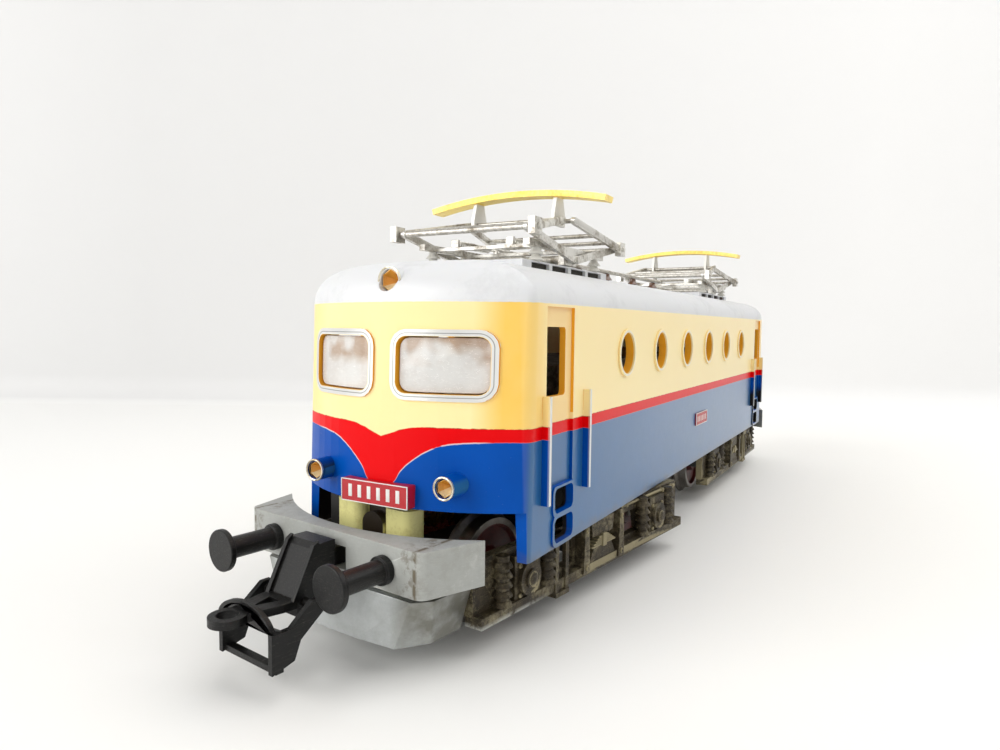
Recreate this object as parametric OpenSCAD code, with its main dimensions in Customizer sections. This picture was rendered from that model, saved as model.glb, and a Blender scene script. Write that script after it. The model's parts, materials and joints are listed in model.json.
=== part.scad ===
/* [Body shell] */
// Length over the two cab fronts
body_l = 158.6; // [150:1:170]
// Width over the side walls
body_w = 33.9; // [32:0.5:36]
// Radius of the bowed cab front, seen from above
bow_r = 27.6; // [24:0.2:36]
// Radius of the cab's upright corners
corner_r = 2; // [1.6:0.1:4]
// Wall thickness of the shell
wall = 1.2; // [0.9:0.1:1.6]
// Height of the side skirt above the ground
skirt_z = 12.3; // [12:0.1:13]
// Height of the cab apron above the ground
apron_z = 18.2; // [17:0.1:19]
// Height where the roof colour starts
eaves_z = 42.2; // [41:0.2:44]
// Rise of the roof above the eaves
roof_rise = 5.3; // [5:0.05:5.4]
// How far the roof draws back over the cab front
roof_draw = 8; // [5:0.5:10]
// Backward lean of the cab front, mm per mm
lean = 0.036; // [0:0.004:0.05]

/* [Windows and doors] */
// Pitch of the portholes
port_pitch = 16.9; // [15:0.1:17.2]
// Porthole radius
port_r = 3.1; // [2:0.1:3.4]
// Height of the porthole centres
port_z = 35.6; // [33:0.2:37]
// Portholes on each side
port_count = 6; // [2:1:6]
// Width of one windscreen
screen_w = 11; // [9:0.2:11.4]
// Height of one windscreen
screen_h = 6.6; // [5:0.2:8]
// Distance from the centreline to the windscreen's inner edge
screen_gap = 2.05; // [1.5:0.1:3]
// Height of the windscreen's lower edge
screen_z = 31.6; // [30:0.2:33]
// Door width
door_w = 7.8; // [6.5:0.1:8.5]
// Distance from the cab front to the door's centre
door_back = 13.7; // [13.3:0.1:14.8]
// Reach of the handrails from the side wall
rail_out = 1; // [0.6:0.1:1.4]

/* [Lamps and plates] */
// Distance of the lower headlights from the centreline
lamp_y = 9.65; // [8:0.1:11]
// Height of the lower headlights
lamp_z = 21.4; // [20.5:0.1:23]
// Outer radius of a headlight tube
lamp_r = 1.35; // [1.2:0.05:1.7]
// Reach of the headlight tubes from the cab front
lamp_out = 2.6; // [1.5:0.1:3.5]
// Height of the roof headlight
roof_lamp_z = 44.7; // [44:0.1:46]
// Width of the end number plate
plate_w = 9.9; // [8:0.1:12]

/* [Running gear] */
// Distance from mid-length to a bogie's pivot
pivot_x = 44.9; // [43:0.1:46]
// Wheelbase of a bogie
wheelbase = 38.2; // [37:0.2:39]
// Radius of the wheel tread
tread_r = 6.6; // [6:0.05:6.7]
// Depth of the wheel flange
flange_h = 1.1; // [0.9:0.1:1.2]
// Distance between the backs of the wheels
back_to_back = 14.2; // [13.8:0.1:14.6]
// Axle radius
axle_r = 1; // [0.8:0.05:1.2]
// Angle at which the front bogie stands
bogie_swing = -7.4; // [-11:0.1:11]

/* [Buffers and couplers] */
// Distance between buffer centres
buffer_pitch = 19.6; // [18:0.1:21]
// Height of the buffers
buffer_z = 12.7; // [12.6:0.1:13]
// Reach of the buffers from the beam
buffer_len = 7.75; // [7:0.05:9]
// Radius of a buffer head
buffer_r = 2.5; // [2:0.1:2.8]
// Width of the buffer beam at its swept-back ends
beam_w = 35; // [33:0.2:36]
// Radius of the coupler's eye
eye_r = 2; // [1.7:0.05:2.2]
// Width inside the coupler's bail
bail_w = 8.4; // [7.6:0.1:9]

/* [Drive] */
// Height of the motor shaft
shaft_z = 14; // [13.9:0.05:14.1]
// Radius of the motor shaft
shaft_r = 0.75; // [0.6:0.05:0.9]
// Teeth on a worm wheel
worm_teeth = 20; // [20:1:20]
// Pitch radius of a worm
worm_r = 1.9; // [1.8:0.05:1.95]

/* [Pantograph] */
// Distance from mid-length to a pantograph's centre
pan_x = 46; // [42:0.5:48]
// Width over the collector's horns
collector_w = 30.4; // [27:0.2:32]
// Height of the collector's top when folded
collector_z = 60.1; // [59.8:0.1:61]
// Spread of a knee from the pantograph's centre when folded
knee_x = 15.6; // [15:0.1:16.5]
// Height of the foot shafts
foot_z = 49.5; // [49.4:0.05:49.6]
// Height of the upper pins when folded
apex_z = 55.4; // [55:0.1:56.4]
// Distance of the foot shafts and upper pins from the centre
pin_x = 0.9; // [0.9:0.05:1.1]
// Radius of the pantograph's cross rods
rod_r = 0.4; // [0.35:0.05:0.5]

/* [Hidden] */
$fn = 40;
fit = 0.05; // running clearance of a pin in its hole
gap = 0.3; // clearance between parts that move past each other
axle_z = tread_r + flange_h;
axle_x = wheelbase / 2;
front_end = body_l / 2;
door_x = front_end - door_back;
roof_z = eaves_z + roof_rise;
hatch_rise = 0.9;
hatch_z = roof_z + hatch_rise;
deck_z = 23; // underside of the underframe
deck_t = 1.6;

// ---------- helpers ----------
module at_both_ends() {
    children();
    rotate([0, 0, 180]) children();
}
module on_both_sides() {
    children();
    mirror([0, 1, 0]) children();
}
// Box from corner to corner
module block(lo, hi) translate(lo) cube(hi - lo);
module rod_y(r, y0, y1) translate([0, y0, 0]) rotate([-90, 0, 0]) cylinder(r = r, h = y1 - y0);
module rod_x(r, x0, x1) translate([x0, 0, 0]) rotate([0, 90, 0]) cylinder(r = r, h = x1 - x0);
// Rectangle with rounded corners, in 2D
function arc(c, r, a0, a1, n) = [for (i = [0:n]) c + r * [cos(a0 + (a1 - a0) * i / n), sin(a0
    + (a1 - a0) * i / n)]];
function rounded(lo, hi, r, n = 4) = concat(arc([hi.x - r, lo.y + r], r, -90, 0, n), arc([hi.x - r,
    hi.y - r], r, 0, 90, n),
    arc([lo.x + r, hi.y - r], r, 90, 180, n), arc([lo.x + r, lo.y + r], r, 180, 270, n));
// A Y-Z outline pushed along +X from x0 to x1
module along_x(points, x0, x1) translate([x0, 0, 0]) rotate([90, 0, 90])
    linear_extrude(x1 - x0) polygon(points);
// An X-Z outline pushed along Y from y0 to y1
module along_y(points, y0, y1) translate([0, y1, 0]) rotate([90, 0, 0]) linear_extrude(y1 - y0)
    polygon(points);

// ---------- body shell ----------
// Plan of the body, drawn in by side_in at the sides and end_in at the ends
function end_half(side_in, end_in) = let (hw = body_w / 2 - side_in, c = max(corner_r - side_in, 0.4),
    cx = body_l / 2 - bow_r - end_in, t = asin((hw - c) / (bow_r - c)),
    kx = cx + (bow_r - c) * cos(t))
    concat(arc([kx, -(hw - c)], c, -90, -t, 4), arc([cx, 0], bow_r, -t + t / 9, t - t / 9, 16),
        arc([kx, hw - c], c, t, 90, 4));
function plan(side_in, end_in) = concat(end_half(side_in, end_in), [for (p = end_half(side_in,
    end_in)) -p]);
// Inset of the roof at a share s of its rise
function roof_in(s) = body_w / 2 * (1 - pow(1 - s * s, 0.25));
function front_in(s) = lean * (eaves_z - 20) + roof_draw * (1 - sqrt(1 - s * s));
module body_solid(t) hull() {
    for (z = [skirt_z - 1, eaves_z]) translate([0, 0, z]) linear_extrude(0.01) polygon(plan(t,
        lean * (z - 20) + t));
    for (s = [0.12, 0.25, 0.38, 0.5, 0.61, 0.71, 0.8, 0.88, 0.94, 0.98]) translate([0, 0, eaves_z
        + s * (roof_rise - max(t, 0))])
        linear_extrude(0.01) polygon(plan(roof_in(s) + t, front_in(s) + t));
    translate([0, 0, roof_z - max(t, 0) - 0.01]) linear_extrude(0.01) polygon(plan(body_w / 4 + t,
        front_in(1) + t));
}
// X of the cab front at height z and distance y from the centreline
function front_x(y, z) = body_l / 2 - bow_r - lean * (z - 20) + sqrt(bow_r * bow_r - y * y);
screen_r = 1.3;
function screen_box(grow) = rounded([screen_gap - grow, screen_z - grow], [screen_gap + screen_w
    + grow, screen_z + screen_h + grow], screen_r + grow);
rim = 0.8;
// Slab that follows the bowed cab front, from depth lo behind the surface to depth hi
module front_skin(lo, hi) translate([body_l / 2 - bow_r, 0, 20]) rotate([0, -atan(lean),
    0]) difference() {
    translate([0, 0, -10]) cylinder(r = bow_r - hi, h = 40, $fn = 120);
    translate([0, 0, -11]) cylinder(r = bow_r - lo, h = 42, $fn = 120);
}
// Raised rim round one windscreen, following the bowed front
module screen_rim() intersection() {
    difference() {
        along_x(screen_box(rim), front_end - 11, front_end + 3);
        along_x(screen_box(0), front_end - 12, front_end + 4);
    }
    front_skin(wall, -0.25);
}
ports = [for (i = [0:port_count - 1]) (i - (port_count - 1) / 2) * port_pitch];
hatch_half = 15;
ledge_y = body_w / 2 - 5.45; // inner edge of the screw ledges
screw_x = 27;
screw_y = ledge_y + 1.7;
hatch_w = 18;
rail_lo = 18.4;
rail_hi = 31.3;
step_x = [door_x - 3.8, door_x + 1.6];
panel_x = front_end - 5.7; // where the apron gives way to the deeper side panel
module shell_openings() {
    // windscreens
    on_both_sides() along_x(screen_box(0), front_end - 12, front_end + 4);
    // apron cut away below the buffers' line
    block([panel_x, -body_w, 0], [front_end + 6, body_w, apron_z]);
    // doors: a shallow recess with a window
    on_both_sides() {
        block([door_x - door_w / 2, body_w / 2 - 0.4, 20], [door_x + door_w / 2, body_w / 2 + 1,
            eaves_z - 0.4]);
        along_y(rounded([door_x - 2.1, 31], [door_x + 3.4, 39.4], 0.5), body_w / 2 - 3, body_w / 2 + 1);
        for (z = [12.9, 16.6]) along_y(rounded([step_x[0], z], [step_x[1], z + 3.1], 0.8),
            body_w / 2 - 3, body_w / 2 + 2);
    }
    // headlight sockets
    on_both_sides() translate([0, lamp_y, lamp_z]) rod_x(lamp_r - 0.25, front_end - 9, front_end + 5);
    translate([0, 0, roof_lamp_z]) rod_x(1.35, front_end - 5.8, front_end + 5);
}
module lamp_tubes() {
    on_both_sides() translate([0, lamp_y, lamp_z]) rod_x(lamp_r, front_x(lamp_y, lamp_z) - wall - 0.6,
        front_x(lamp_y, lamp_z) + lamp_out);
    translate([0, 0, roof_lamp_z]) rod_x(1.65, front_end - 7.3, front_end - 1.8);
}
module body_shell() color("khaki") {
    difference() {
        union() {
            difference() {
                body_solid(0);
                body_solid(wall);
                block([-body_l, -body_w, 0], [body_l, body_w, skirt_z]);
            }
            at_both_ends() {
                on_both_sides() screen_rim();
                lamp_tubes();
                // step surrounds
                on_both_sides() for (z = [12.9, 16.6])
                    along_y(rounded([step_x[0] - 0.5, z - 0.5], [step_x[1] + 0.5, z + 3.6], 1.1),
                        body_w / 2 - 0.6, body_w / 2 + 0.25);
                // raised roof hatch under each pantograph
                block([pan_x - hatch_half, -hatch_w / 2, roof_z - 1.2], [pan_x + hatch_half,
                    hatch_w / 2, hatch_z]);
                // handrail ribs
                on_both_sides() for (x = [door_x - 7.4, door_x + 4.6]) block([x - 0.3,
                    body_w / 2 - 0.3, rail_lo], [x + 0.3, body_w / 2 + rail_out, rail_hi]);
            }
            // porthole rims
            on_both_sides() for (x = ports) translate([x, 0, port_z]) rod_y(port_r + 0.5,
                body_w / 2 - 0.5, body_w / 2 + 0.3);
        }
        at_both_ends() {
            shell_openings();
            on_both_sides() for (i = [0:3]) block([pan_x - 12.6 + i * 6.5, hatch_w / 2 - 0.5,
                hatch_z - 1], [pan_x - 7.1 + i * 6.5, hatch_w / 2 + 1, hatch_z - 0.2]);
        }
        on_both_sides() for (x = ports) translate([x, 0, port_z]) rod_y(port_r, body_w / 2 - 3,
            body_w / 2 + 2);
    }
    // ledges that the underframe is screwed up against
    at_both_ends() on_both_sides() difference() {
        block([screw_x - 3, ledge_y, deck_z + deck_t], [screw_x + 3, body_w / 2 - wall + 0.4, deck_z
            + deck_t + 3.5]);
        translate([screw_x, screw_y, 0]) cylinder(r = 0.7, h = 40);
    }
}
// Clear insert: two panes that fill the windscreens, joined behind the wall
module glazing() color("lightblue") {
    back = 1.1;
    on_both_sides() intersection() {
        along_x(rounded([screen_gap + 0.15, screen_z + 0.15], [screen_gap + screen_w - 0.15, screen_z
            + screen_h - 0.15], screen_r),
            front_end - 11, front_end + 3);
        front_skin(wall + back, 0.35);
    }
    intersection() {
        block([front_end - 11, -screen_gap - 2, screen_z + 1], [front_end + 3, screen_gap + 2,
            screen_z + screen_h - 1]);
        front_skin(wall + back, wall + 0.05);
    }
}
module front_glazing() rotate([0, 0, 180]) glazing();
module rear_glazing() glazing();
// Dished metal reflector of one headlight; its mouth faces +X at x = 0
module reflector(r, depth) rotate([0, 90, 0]) translate([0, 0, -depth]) difference() {
    cylinder(r = r, h = depth);
    translate([0, 0, 0.5]) cylinder(r1 = 0.15, r2 = r - 0.12, h = depth);
}
module headlight_reflectors() color("gold") at_both_ends() {
    on_both_sides() translate([front_x(lamp_y, lamp_z) + lamp_out - 0.25, lamp_y,
        lamp_z]) reflector(lamp_r - 0.25, 2.4);
    translate([front_end - 2.05, 0, roof_lamp_z]) reflector(1.35, 2.6);
}
plate_z = 18.4;
plate_h = 2.7;
module number_plates() color("firebrick") {
    at_both_ends() intersection() {
        block([body_l / 2 - 2, -plate_w / 2, plate_z], [body_l / 2 + 1.15, plate_w / 2, plate_z
            + plate_h]);
        front_skin(-0.02, -4);
    }
    on_both_sides() block([-0.8, body_w / 2, 19.7], [8, body_w / 2 + 0.3, 22.2]);
}

// ---------- inside the body ----------
king_r = 1.6;
module underframe() color("dimgray") {
    hw = body_w / 2 - wall - 0.15;
    difference() {
        union() {
            block([-front_end + 10.3, -hw, deck_z], [front_end - 10.3, hw, deck_z + deck_t]);
            // battery-box shaped equipment between the bogies
            block([-9, -12, 15], [9, 12, deck_z + 0.5]);
        }
        at_both_ends() {
            translate([pivot_x, 0, 0]) cylinder(r = king_r + fit, h = 60);
            on_both_sides() translate([screw_x, screw_y, 0]) cylinder(r = 0.9, h = 60);
        }
    }
}
bulb_x = front_end - 15.8;
module ballast_weight() color("silver") difference() {
    block([-front_end + 13.3, -ledge_y + 0.5, deck_z + deck_t], [front_end - 13.3, ledge_y - 0.5, 34]);
    at_both_ends() {
        translate([pivot_x, 0, 0]) cylinder(r = 5, h = 60);
        block([bulb_x - 3.5, -4.5, 20], [front_end, 4.5, 40]);
    }
    block([-16, -9, 31], [16, 9, 40]);
}
module circuit_board() color("darkgoldenrod") {
    block([-15, -8, 31], [15, 8, 32]);
    on_both_sides() translate([0, 4.5, 33.7]) rod_x(1.7, -8, 4);
    block([7, -2.5, 32], [12, 2.5, 35]);
}
module lamp_bulbs() color("lightyellow") at_both_ends() {
    block([bulb_x - 2.5, -3, deck_z + deck_t], [bulb_x + 2.5, 3, deck_z + deck_t + 5]);
    translate([bulb_x, 0, deck_z + deck_t]) cylinder(r = 1.5, h = 34 - deck_z - deck_t);
    translate([bulb_x, 0, 34]) sphere(r = 1.5);
}
module shell_screws() color("gray") at_both_ends() on_both_sides() translate([screw_x, screw_y, deck_z]) {
    translate([0, 0, -1]) difference() {
        cylinder(r = 1.5, h = 1);
        block([-2, -0.2, -0.1], [2, 0.2, 0.4]);
    }
    cylinder(r = 0.7, h = deck_t + 2.5);
}

// ---------- roof line ----------
bus_z = roof_z + 3.2;
bus_half = pan_x - 19;
module roof_insulators() color("dimgray") for (x = [-bus_half + 5, -8, 8, bus_half - 5]) translate([x,
    0, roof_z]) {
    cylinder(r = 0.7, h = 3.2 - rod_r);
    for (z = [0.5, 1.5]) translate([0, 0, z]) cylinder(r1 = 1.3, r2 = 0.7, h = 0.8);
}
module roof_busbar() color("silver") translate([0, 0, bus_z]) {
    rod_x(rod_r, -bus_half, bus_half);
    for (x = [-bus_half, bus_half]) translate([x, 0, 0]) sphere(r = 0.6);
}

// ---------- pantograph, about its own centre, its outer side towards +X ----------
// Both arms of a side are equally long and the upper pins stand over the foot shafts, so that the
// knee opens by twice the angle that the lower arm is raised by
base_z = 50.4;
base_half = 13.2;
base_y = 8.6;
arm_y = 9.9;
bar = 0.55;
post_x = 10.4;
knee_z = (foot_z + apex_z) / 2;
slot_play = 0.2; // play round the inner arm's pin
spring_z = base_z + 1;
module pan_insulators() color("gainsboro") for (x = [-post_x, post_x]) on_both_sides() translate([x,
    base_y, hatch_z]) {
    cylinder(r = 0.6, h = base_z - hatch_z);
    for (z = [0.15, 1]) translate([0, 0, z]) cylinder(r1 = 1.15, r2 = 0.6, h = 0.7);
}
module pan_base() color("silver") difference() {
    union() {
        on_both_sides() {
            block([-base_half, base_y - 0.5, base_z], [base_half, base_y + 0.5, base_z + 0.9]);
            // bearing plate of the two foot shafts
            block([-pin_x - 1.3, base_y - 0.5, foot_z - 0.9], [pin_x + 1.3, base_y + 0.5, base_z + 0.2]);
        }
        for (x = [-post_x, 0, post_x]) block([x - 0.5, -base_y, base_z], [x + 0.5, base_y, base_z
            + 0.45]);
    }
    for (x = [-pin_x, pin_x]) translate([x, 0, foot_z]) rod_y(0.6 + fit, -12, 12);
}
module pan_springs() color("silver") on_both_sides() translate([0, 4.6, spring_z]) {
    for (a = [0, 180]) rotate([0, 0, a]) rod_x(0.5, 0.7, post_x);
    rod_x(0.2, -0.8, 0.8);
    for (x = [-post_x, post_x]) block([x - 0.35, -0.75, -0.55], [x + 0.35, 0.75, 0.6]);
}
// One bar of a pressed arm between two X-Z points, at distance y0 to y1 from the centreline
module arm_bar(p, q, y0, y1) hull() for (e = [[p, y0], [q, y1]])
    translate([e[0].x, e[1], e[0].y]) rotate([90, 0, 0]) cylinder(r = bar, h = 0.6, center = true,
        $fn = 16);
foot = [pin_x, foot_z];
knee = [knee_x, knee_z];
apex = [pin_x, apex_z];
module lower_arm() color("silver") {
    translate([foot.x, 0, foot.y]) rod_y(0.6, -arm_y, arm_y);
    on_both_sides() arm_bar(foot, knee, arm_y, arm_y);
    translate([knee.x, 0, knee.y]) rod_y(rod_r, -arm_y - 2.1, arm_y + 2.1);
}
knee_y = arm_y + 1.2;
upper_rods = [0.26, 0.52]; // places of the two cross rods, as shares of the upper arm
module upper_arm(head_y) color("silver") difference() {
    union() {
        on_both_sides() {
            arm_bar(knee, apex, knee_y, head_y);
            // folded bracket round the knee rod
            block([knee.x - 1, knee_y - 0.45, knee.y - 1.1], [knee.x + 1.1, knee_y + 0.55, knee.y + 1.1]);
        }
        for (s = upper_rods) let (p = knee + (apex - knee) * s, y = knee_y + (head_y - knee_y) * s)
            translate([p.x, 0, p.y]) rod_y(0.35, -y, y);
        translate([apex.x, 0, apex.y]) rod_y(0.35, -head_y, head_y);
    }
    translate([knee.x, 0, knee.y]) rod_y(rod_r + fit, -20, 20);
}
collector_sag = 1.6;
collector_t = 0.9;
collector_r = (pow(collector_w / 2, 2) + pow(collector_sag, 2)) / (2 * collector_sag);
collector_a = asin(collector_w / 2 / collector_r);
cheek_y = 7;
module collector() color("gold") {
    c = [0, collector_z - collector_r];
    along_x(concat(arc(c, collector_r, 90 - collector_a, 90 + collector_a, 20),
        arc(c, collector_r - collector_t, 90 + collector_a, 90 - collector_a, 20)), -1.5, 1.5);
    on_both_sides() difference() {
        along_y([[-1.9, apex_z - 0.8], [1.9, apex_z - 0.8], [1.9, apex_z + 0.8], [0.9,
            collector_z - 0.7], [-0.9, collector_z - 0.7],
            [-1.9, apex_z + 0.8]], cheek_y - 0.3, cheek_y + 0.3);
        translate([pin_x, 0, apex_z]) rod_y(0.35 + fit, 0, 12);
        translate([-pin_x, 0, apex_z]) rod_y(0.35 + slot_play, 0, 12);
    }
}
module at_pan(front) translate([front ? -pan_x : pan_x, 0, 0]) rotate([0, 0, front ? 180 : 0]) children();

// ---------- bogie, about its pivot, its buffers towards +X ----------
module at_bogie(front) translate([front ? -pivot_x : pivot_x, 0, 0]) rotate([0, 0, front ? 180
    + bogie_swing : 0]) children();
side_y = 13.2; // inner face of the side frames
frame_half = axle_x + axle_z + 2.1;
beam_front = frame_half + 9.55;
buffer_reach = beam_front + buffer_len;
beam_lo = 10.3;
beam_hi = 15.5;
drawbar_pin = beam_front - 4.25;
drawbar_r = 0.8;
yoke_top = deck_z - 0.3;
module bogie_core() {
    hw = back_to_back / 2 - 0.6;
    difference() {
        union() {
            block([-frame_half, -hw, 5.4], [frame_half, hw, core_top]);
            // transoms out to the side frames
            for (x = [-frame_half, frame_half - 1.5]) block([x, -side_y, 8], [x + 1.5, side_y, 11.4]);
            block([-3.2, -side_y, 6], [3.2, side_y, 11.4]);
        }
        // slots for the worm wheels and bores for the axles
        for (x = [-axle_x, axle_x]) {
            translate([x, 0, axle_z]) rod_y(gear_r + 1.3, -1.7, 1.7);
            translate([x, 0, axle_z]) rod_y(axle_r + fit, -10, 10);
            block([x - gear_r - 1.3, -1.7, axle_z], [x + gear_r + 1.3, 1.7, 20]);
        }
    }
}
module yoke() difference() {
    union() {
        for (y = [-10.4, 9]) block([-5, y, 8], [5, y + 1.4, yoke_top]);
        block([-5, -10.4, yoke_top - 1.4], [5, 10.4, yoke_top]);
    }
    translate([0, 0, yoke_top - 2]) cylinder(r = king_r, h = 3);
}
module front_bogie_frame() color("dimgray") at_bogie(true) {
    difference() {
        bogie_core();
        block([-motor_half - 1.7, -8.8, 8.2], [motor_half + 1.7, 8.8, 20]);
        // trough for the worms
        translate([0, 0, shaft_z]) rod_x(2.7, -frame_half + 2, frame_half - 2);
    }
    yoke();
    // lug beside the shaft bearing
    block([frame_half - 1.4, -9.4, 11], [frame_half + 1.2, -7.2, 16.8]);
}
module rear_bogie_frame() color("dimgray") at_bogie(false) {
    bogie_core();
    yoke();
}
// One cast side frame with its axleboxes, springs and step
module side_frame() {
    y = side_y;
    difference() {
        block([-frame_half, y, 5.2], [frame_half, y + 1.3, 11.9]);
        for (x = [-10.4, 10.4]) along_y([[x - 4, 6.2], [x + 4, 6.2], [x + 3, 10], [x - 3, 10]], y - 1,
            y + 3);
    }
    // lower rail
    block([-frame_half + 0.1, y + 0.1, 4], [frame_half - 0.1, y + 2.6, 5.4]);
    for (x = [-axle_x, axle_x]) translate([x, 0, 0]) {
        block([-2.8, y + 1, 4.8], [2.8, y + 2.3, 11]);
        translate([0, 0, axle_z]) rod_y(2.2, y + 2, y + 2.9);
        translate([0, 0, axle_z]) rod_y(1.2, y + 2.5, y + 3.2);
        for (s = [-1, 1]) translate([s * 4.9, y + 1.9, 5.2]) {
            for (z = [0:4]) translate([0, 0, 0.3 + z * 1.2]) cylinder(r1 = 1.35, r2 = 1, h = 0.65,
                $fn = 20);
            cylinder(r = 0.9, h = 6.5, $fn = 20);
        }
    }
    // swing-link posts beside the bolster
    for (x = [-5.2, 5.2]) along_y([[x - 0.9, 4.4], [x + 0.9, 4.4], [x + 0.5, 11.7], [x - 0.5, 11.7]],
        y + 1, y + 2.9);
    // bolster spring pack
    along_y([[-4, 5.2], [4, 5.2], [2.6, 7.4], [-2.6, 7.4]], y + 1, y + 2.5);
    along_y([[-3, 9], [3, 9], [3.4, 11.4], [-3.4, 11.4]], y + 1, y + 2.5);
    // hanging step
    for (x = [10.4, 12.9]) block([x - 0.4, y + 2.2, 3.3], [x + 0.4, y + 2.8, 11.5]);
    block([10, y + 1.2, 3.2], [13.3, y + 2.9, 3.8]);
    block([9.9, y + 1, 10.6], [13.4, y + 2.9, 11.6]);
}
module side_frames(front) color("darkkhaki") at_bogie(front) on_both_sides() side_frame();
// Symmetrical outline that starts at the frame's end
function nose(half) = [for (p = concat(half, [for (i = [len(half) - 1:-1:0]) [half[i].x,
    -half[i].y]])) p + [frame_half, 0]];
// Keeper plate under the axles, with the dished nose below the buffer beam
module cowl(front) color("lightgray") at_bogie(front) {
    hw = back_to_back / 2 - 0.6;
    difference() {
        block([-frame_half, -hw, 3.4], [frame_half, hw, 5.4]);
        if (front) for (x = [-axle_x, axle_x]) block([x - gear_r - 0.6, -1.7, 3], [x + gear_r + 0.6,
            1.7, 6]);
    }
    hull() {
        translate([0, 0, 3.5]) linear_extrude(0.1) polygon(nose([[0, 12.6], [5.1, 12.6], [8.7, 10.4],
            [9.4, 5], [9.6, 0]]));
        translate([0, 0, 9.2]) linear_extrude(0.1) polygon(nose([[0, 14.4], [6.5, 14.4], [8.5, 12.8],
            [8.9, 0]]));
    }
    // pads that carry the buffer beam
    on_both_sides() block([frame_half + 1, 9.4, 9.2], [beam_front - 3.45, 12.4, beam_lo]);
}
beam_tip = beam_front - 8.05; // where the beam's swept ends stop
module buffer_beam(front) color("lightgray") at_bogie(front) difference() {
    union() {
        translate([0, 0, beam_lo]) linear_extrude(beam_hi - beam_lo) polygon(concat(
            [[beam_tip, -beam_w / 2]], arc([beam_front - 1.45, 3.4 - beam_w / 2], 1.45, -66, 0, 5),
            arc([beam_front - 1.45, beam_w / 2 - 3.4], 1.45, 0, 66, 5), [[beam_tip, beam_w / 2]],
            [for (i = [1:15]) let (k = 1 - i / 8) [beam_front - 2.05 - 6 * pow(abs(k), 2.2),
                k * beam_w / 2]]));
        // shelf that carries the drawbar's pin
        block([beam_front - 6.05, -5, beam_lo], [beam_front - 1.45, 5, beam_lo + 0.9]);
    }
    // window for the drawbar
    block([beam_tip, -3.4, beam_lo + 0.9], [beam_front + 1, 3.4, 13.9]);
    translate([drawbar_pin, 0, 0]) cylinder(r = drawbar_r + fit, h = 20);
    on_both_sides() translate([0, buffer_pitch / 2, buffer_z]) rod_x(0.9, beam_tip, beam_front + 6);
}
shank_r = 1.3;
module buffers(front) color("black") at_bogie(front) on_both_sides() translate([0, buffer_pitch / 2,
    buffer_z]) {
    rod_x(0.88, beam_front - 2.85, beam_front + 1);
    rod_x(shank_r + 0.35, beam_front, beam_front + 0.9);
    rod_x(shank_r, beam_front + 0.5, buffer_reach - 0.5);
    rod_x(buffer_r, buffer_reach - 0.7, buffer_reach);
    rod_x(shank_r + 0.25, buffer_reach - 1.2, buffer_reach - 0.6);
}
// Drawbar: tongue and pin behind the beam, dropped shank, and the flat arm that ends in the eye
eye_x = beam_front + 12.85;
arm_z = 8.8;
arm_t = 0.9;
bail_pin = [beam_front + 5.15, 8.9];
// X-Z outline measured from the beam's face
function off(points) = [for (p = points) p + [beam_front, 0]];
module drawbar(front) color("black") at_bogie(front) difference() {
    union() {
        block([drawbar_pin - 1.4, -1.5, beam_lo + 1.1], [beam_front + 1.5, 1.5, 13.4]);
        translate([drawbar_pin, 0, beam_lo - 0.6]) cylinder(r = drawbar_r, h = 3);
        along_y(off([[0.85, 11.9], [0.85, 14.9], [3.1, 14.9], [3.7, 14.3], [6.1, 9.4], [6.1, 7.4],
            [4.1, 7.4], [2.5, 11.9]]), -2.6, 2.6);
        // raised edges of the shank
        on_both_sides() along_y(off([[3.1, 15.2], [3.8, 14.8], [6.6, 9.2], [5.7, 9.2]]), 2, 2.6);
        translate([0, 0, arm_z - arm_t / 2]) linear_extrude(arm_t) polygon(off([[5.1, -2.6], [7.7,
            -2.4], [11.7, -1.4], [11.7, 1.4],
            [7.7, 2.4], [5.1, 2.6]]));
        translate([eye_x, 0, arm_z - arm_t / 2]) cylinder(r = eye_r, h = arm_t);
    }
    translate([eye_x, 0, 0]) cylinder(r = eye_r - 0.85, h = 20);
    translate([0, 0, 5]) linear_extrude(8) polygon(off([[7.2, -0.9], [9.9, 0], [7.2, 0.9]]));
    translate([bail_pin.x, 0, bail_pin.y]) rod_y(0.45 + fit, -5, 5);
}
// Bail: a D-shaped hoop across the eye, on two cranked arms
hoop_x = beam_front + 9.55;
hoop_w = 1;
hoop_lo = 3.3;
hoop_r = bail_w / 2;
module hoop_outline(grow) polygon(concat([[-hoop_r - grow, hoop_lo + 0.7 - grow]], [[hoop_r + grow,
    hoop_lo + 0.7 - grow]],
    arc([0, 7.2], hoop_r + grow, 0, 180, 16)));
module coupler_bail(front) color("black") at_bogie(front) {
    translate([hoop_x, 0, 0]) rotate([90, 0, 90]) linear_extrude(hoop_w) difference() {
        hoop_outline(0.7);
        hoop_outline(0);
    }
    translate([bail_pin.x, 0, bail_pin.y]) rod_y(0.45, -hoop_r - 0.7, hoop_r + 0.7);
    on_both_sides() along_y(off([[4.25, 8.3], [4.55, 9.8], [5.75, 9.8], [8.55, 7.6], [10.95, 7.6],
        [10.95, 3.3], [8.15, 4], [7.35, 6]]),
        hoop_r, hoop_r + 0.7);
}
module king_pin(front) color("silver") at_bogie(front) {
    translate([0, 0, yoke_top - 1.4]) cylinder(r = king_r, h = deck_t + 2);
    translate([0, 0, deck_z + deck_t + 0.2]) difference() {
        cylinder(r = 3, h = 1.2);
        block([-4, -0.3, 0.7], [4, 0.3, 2]);
    }
}
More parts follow.
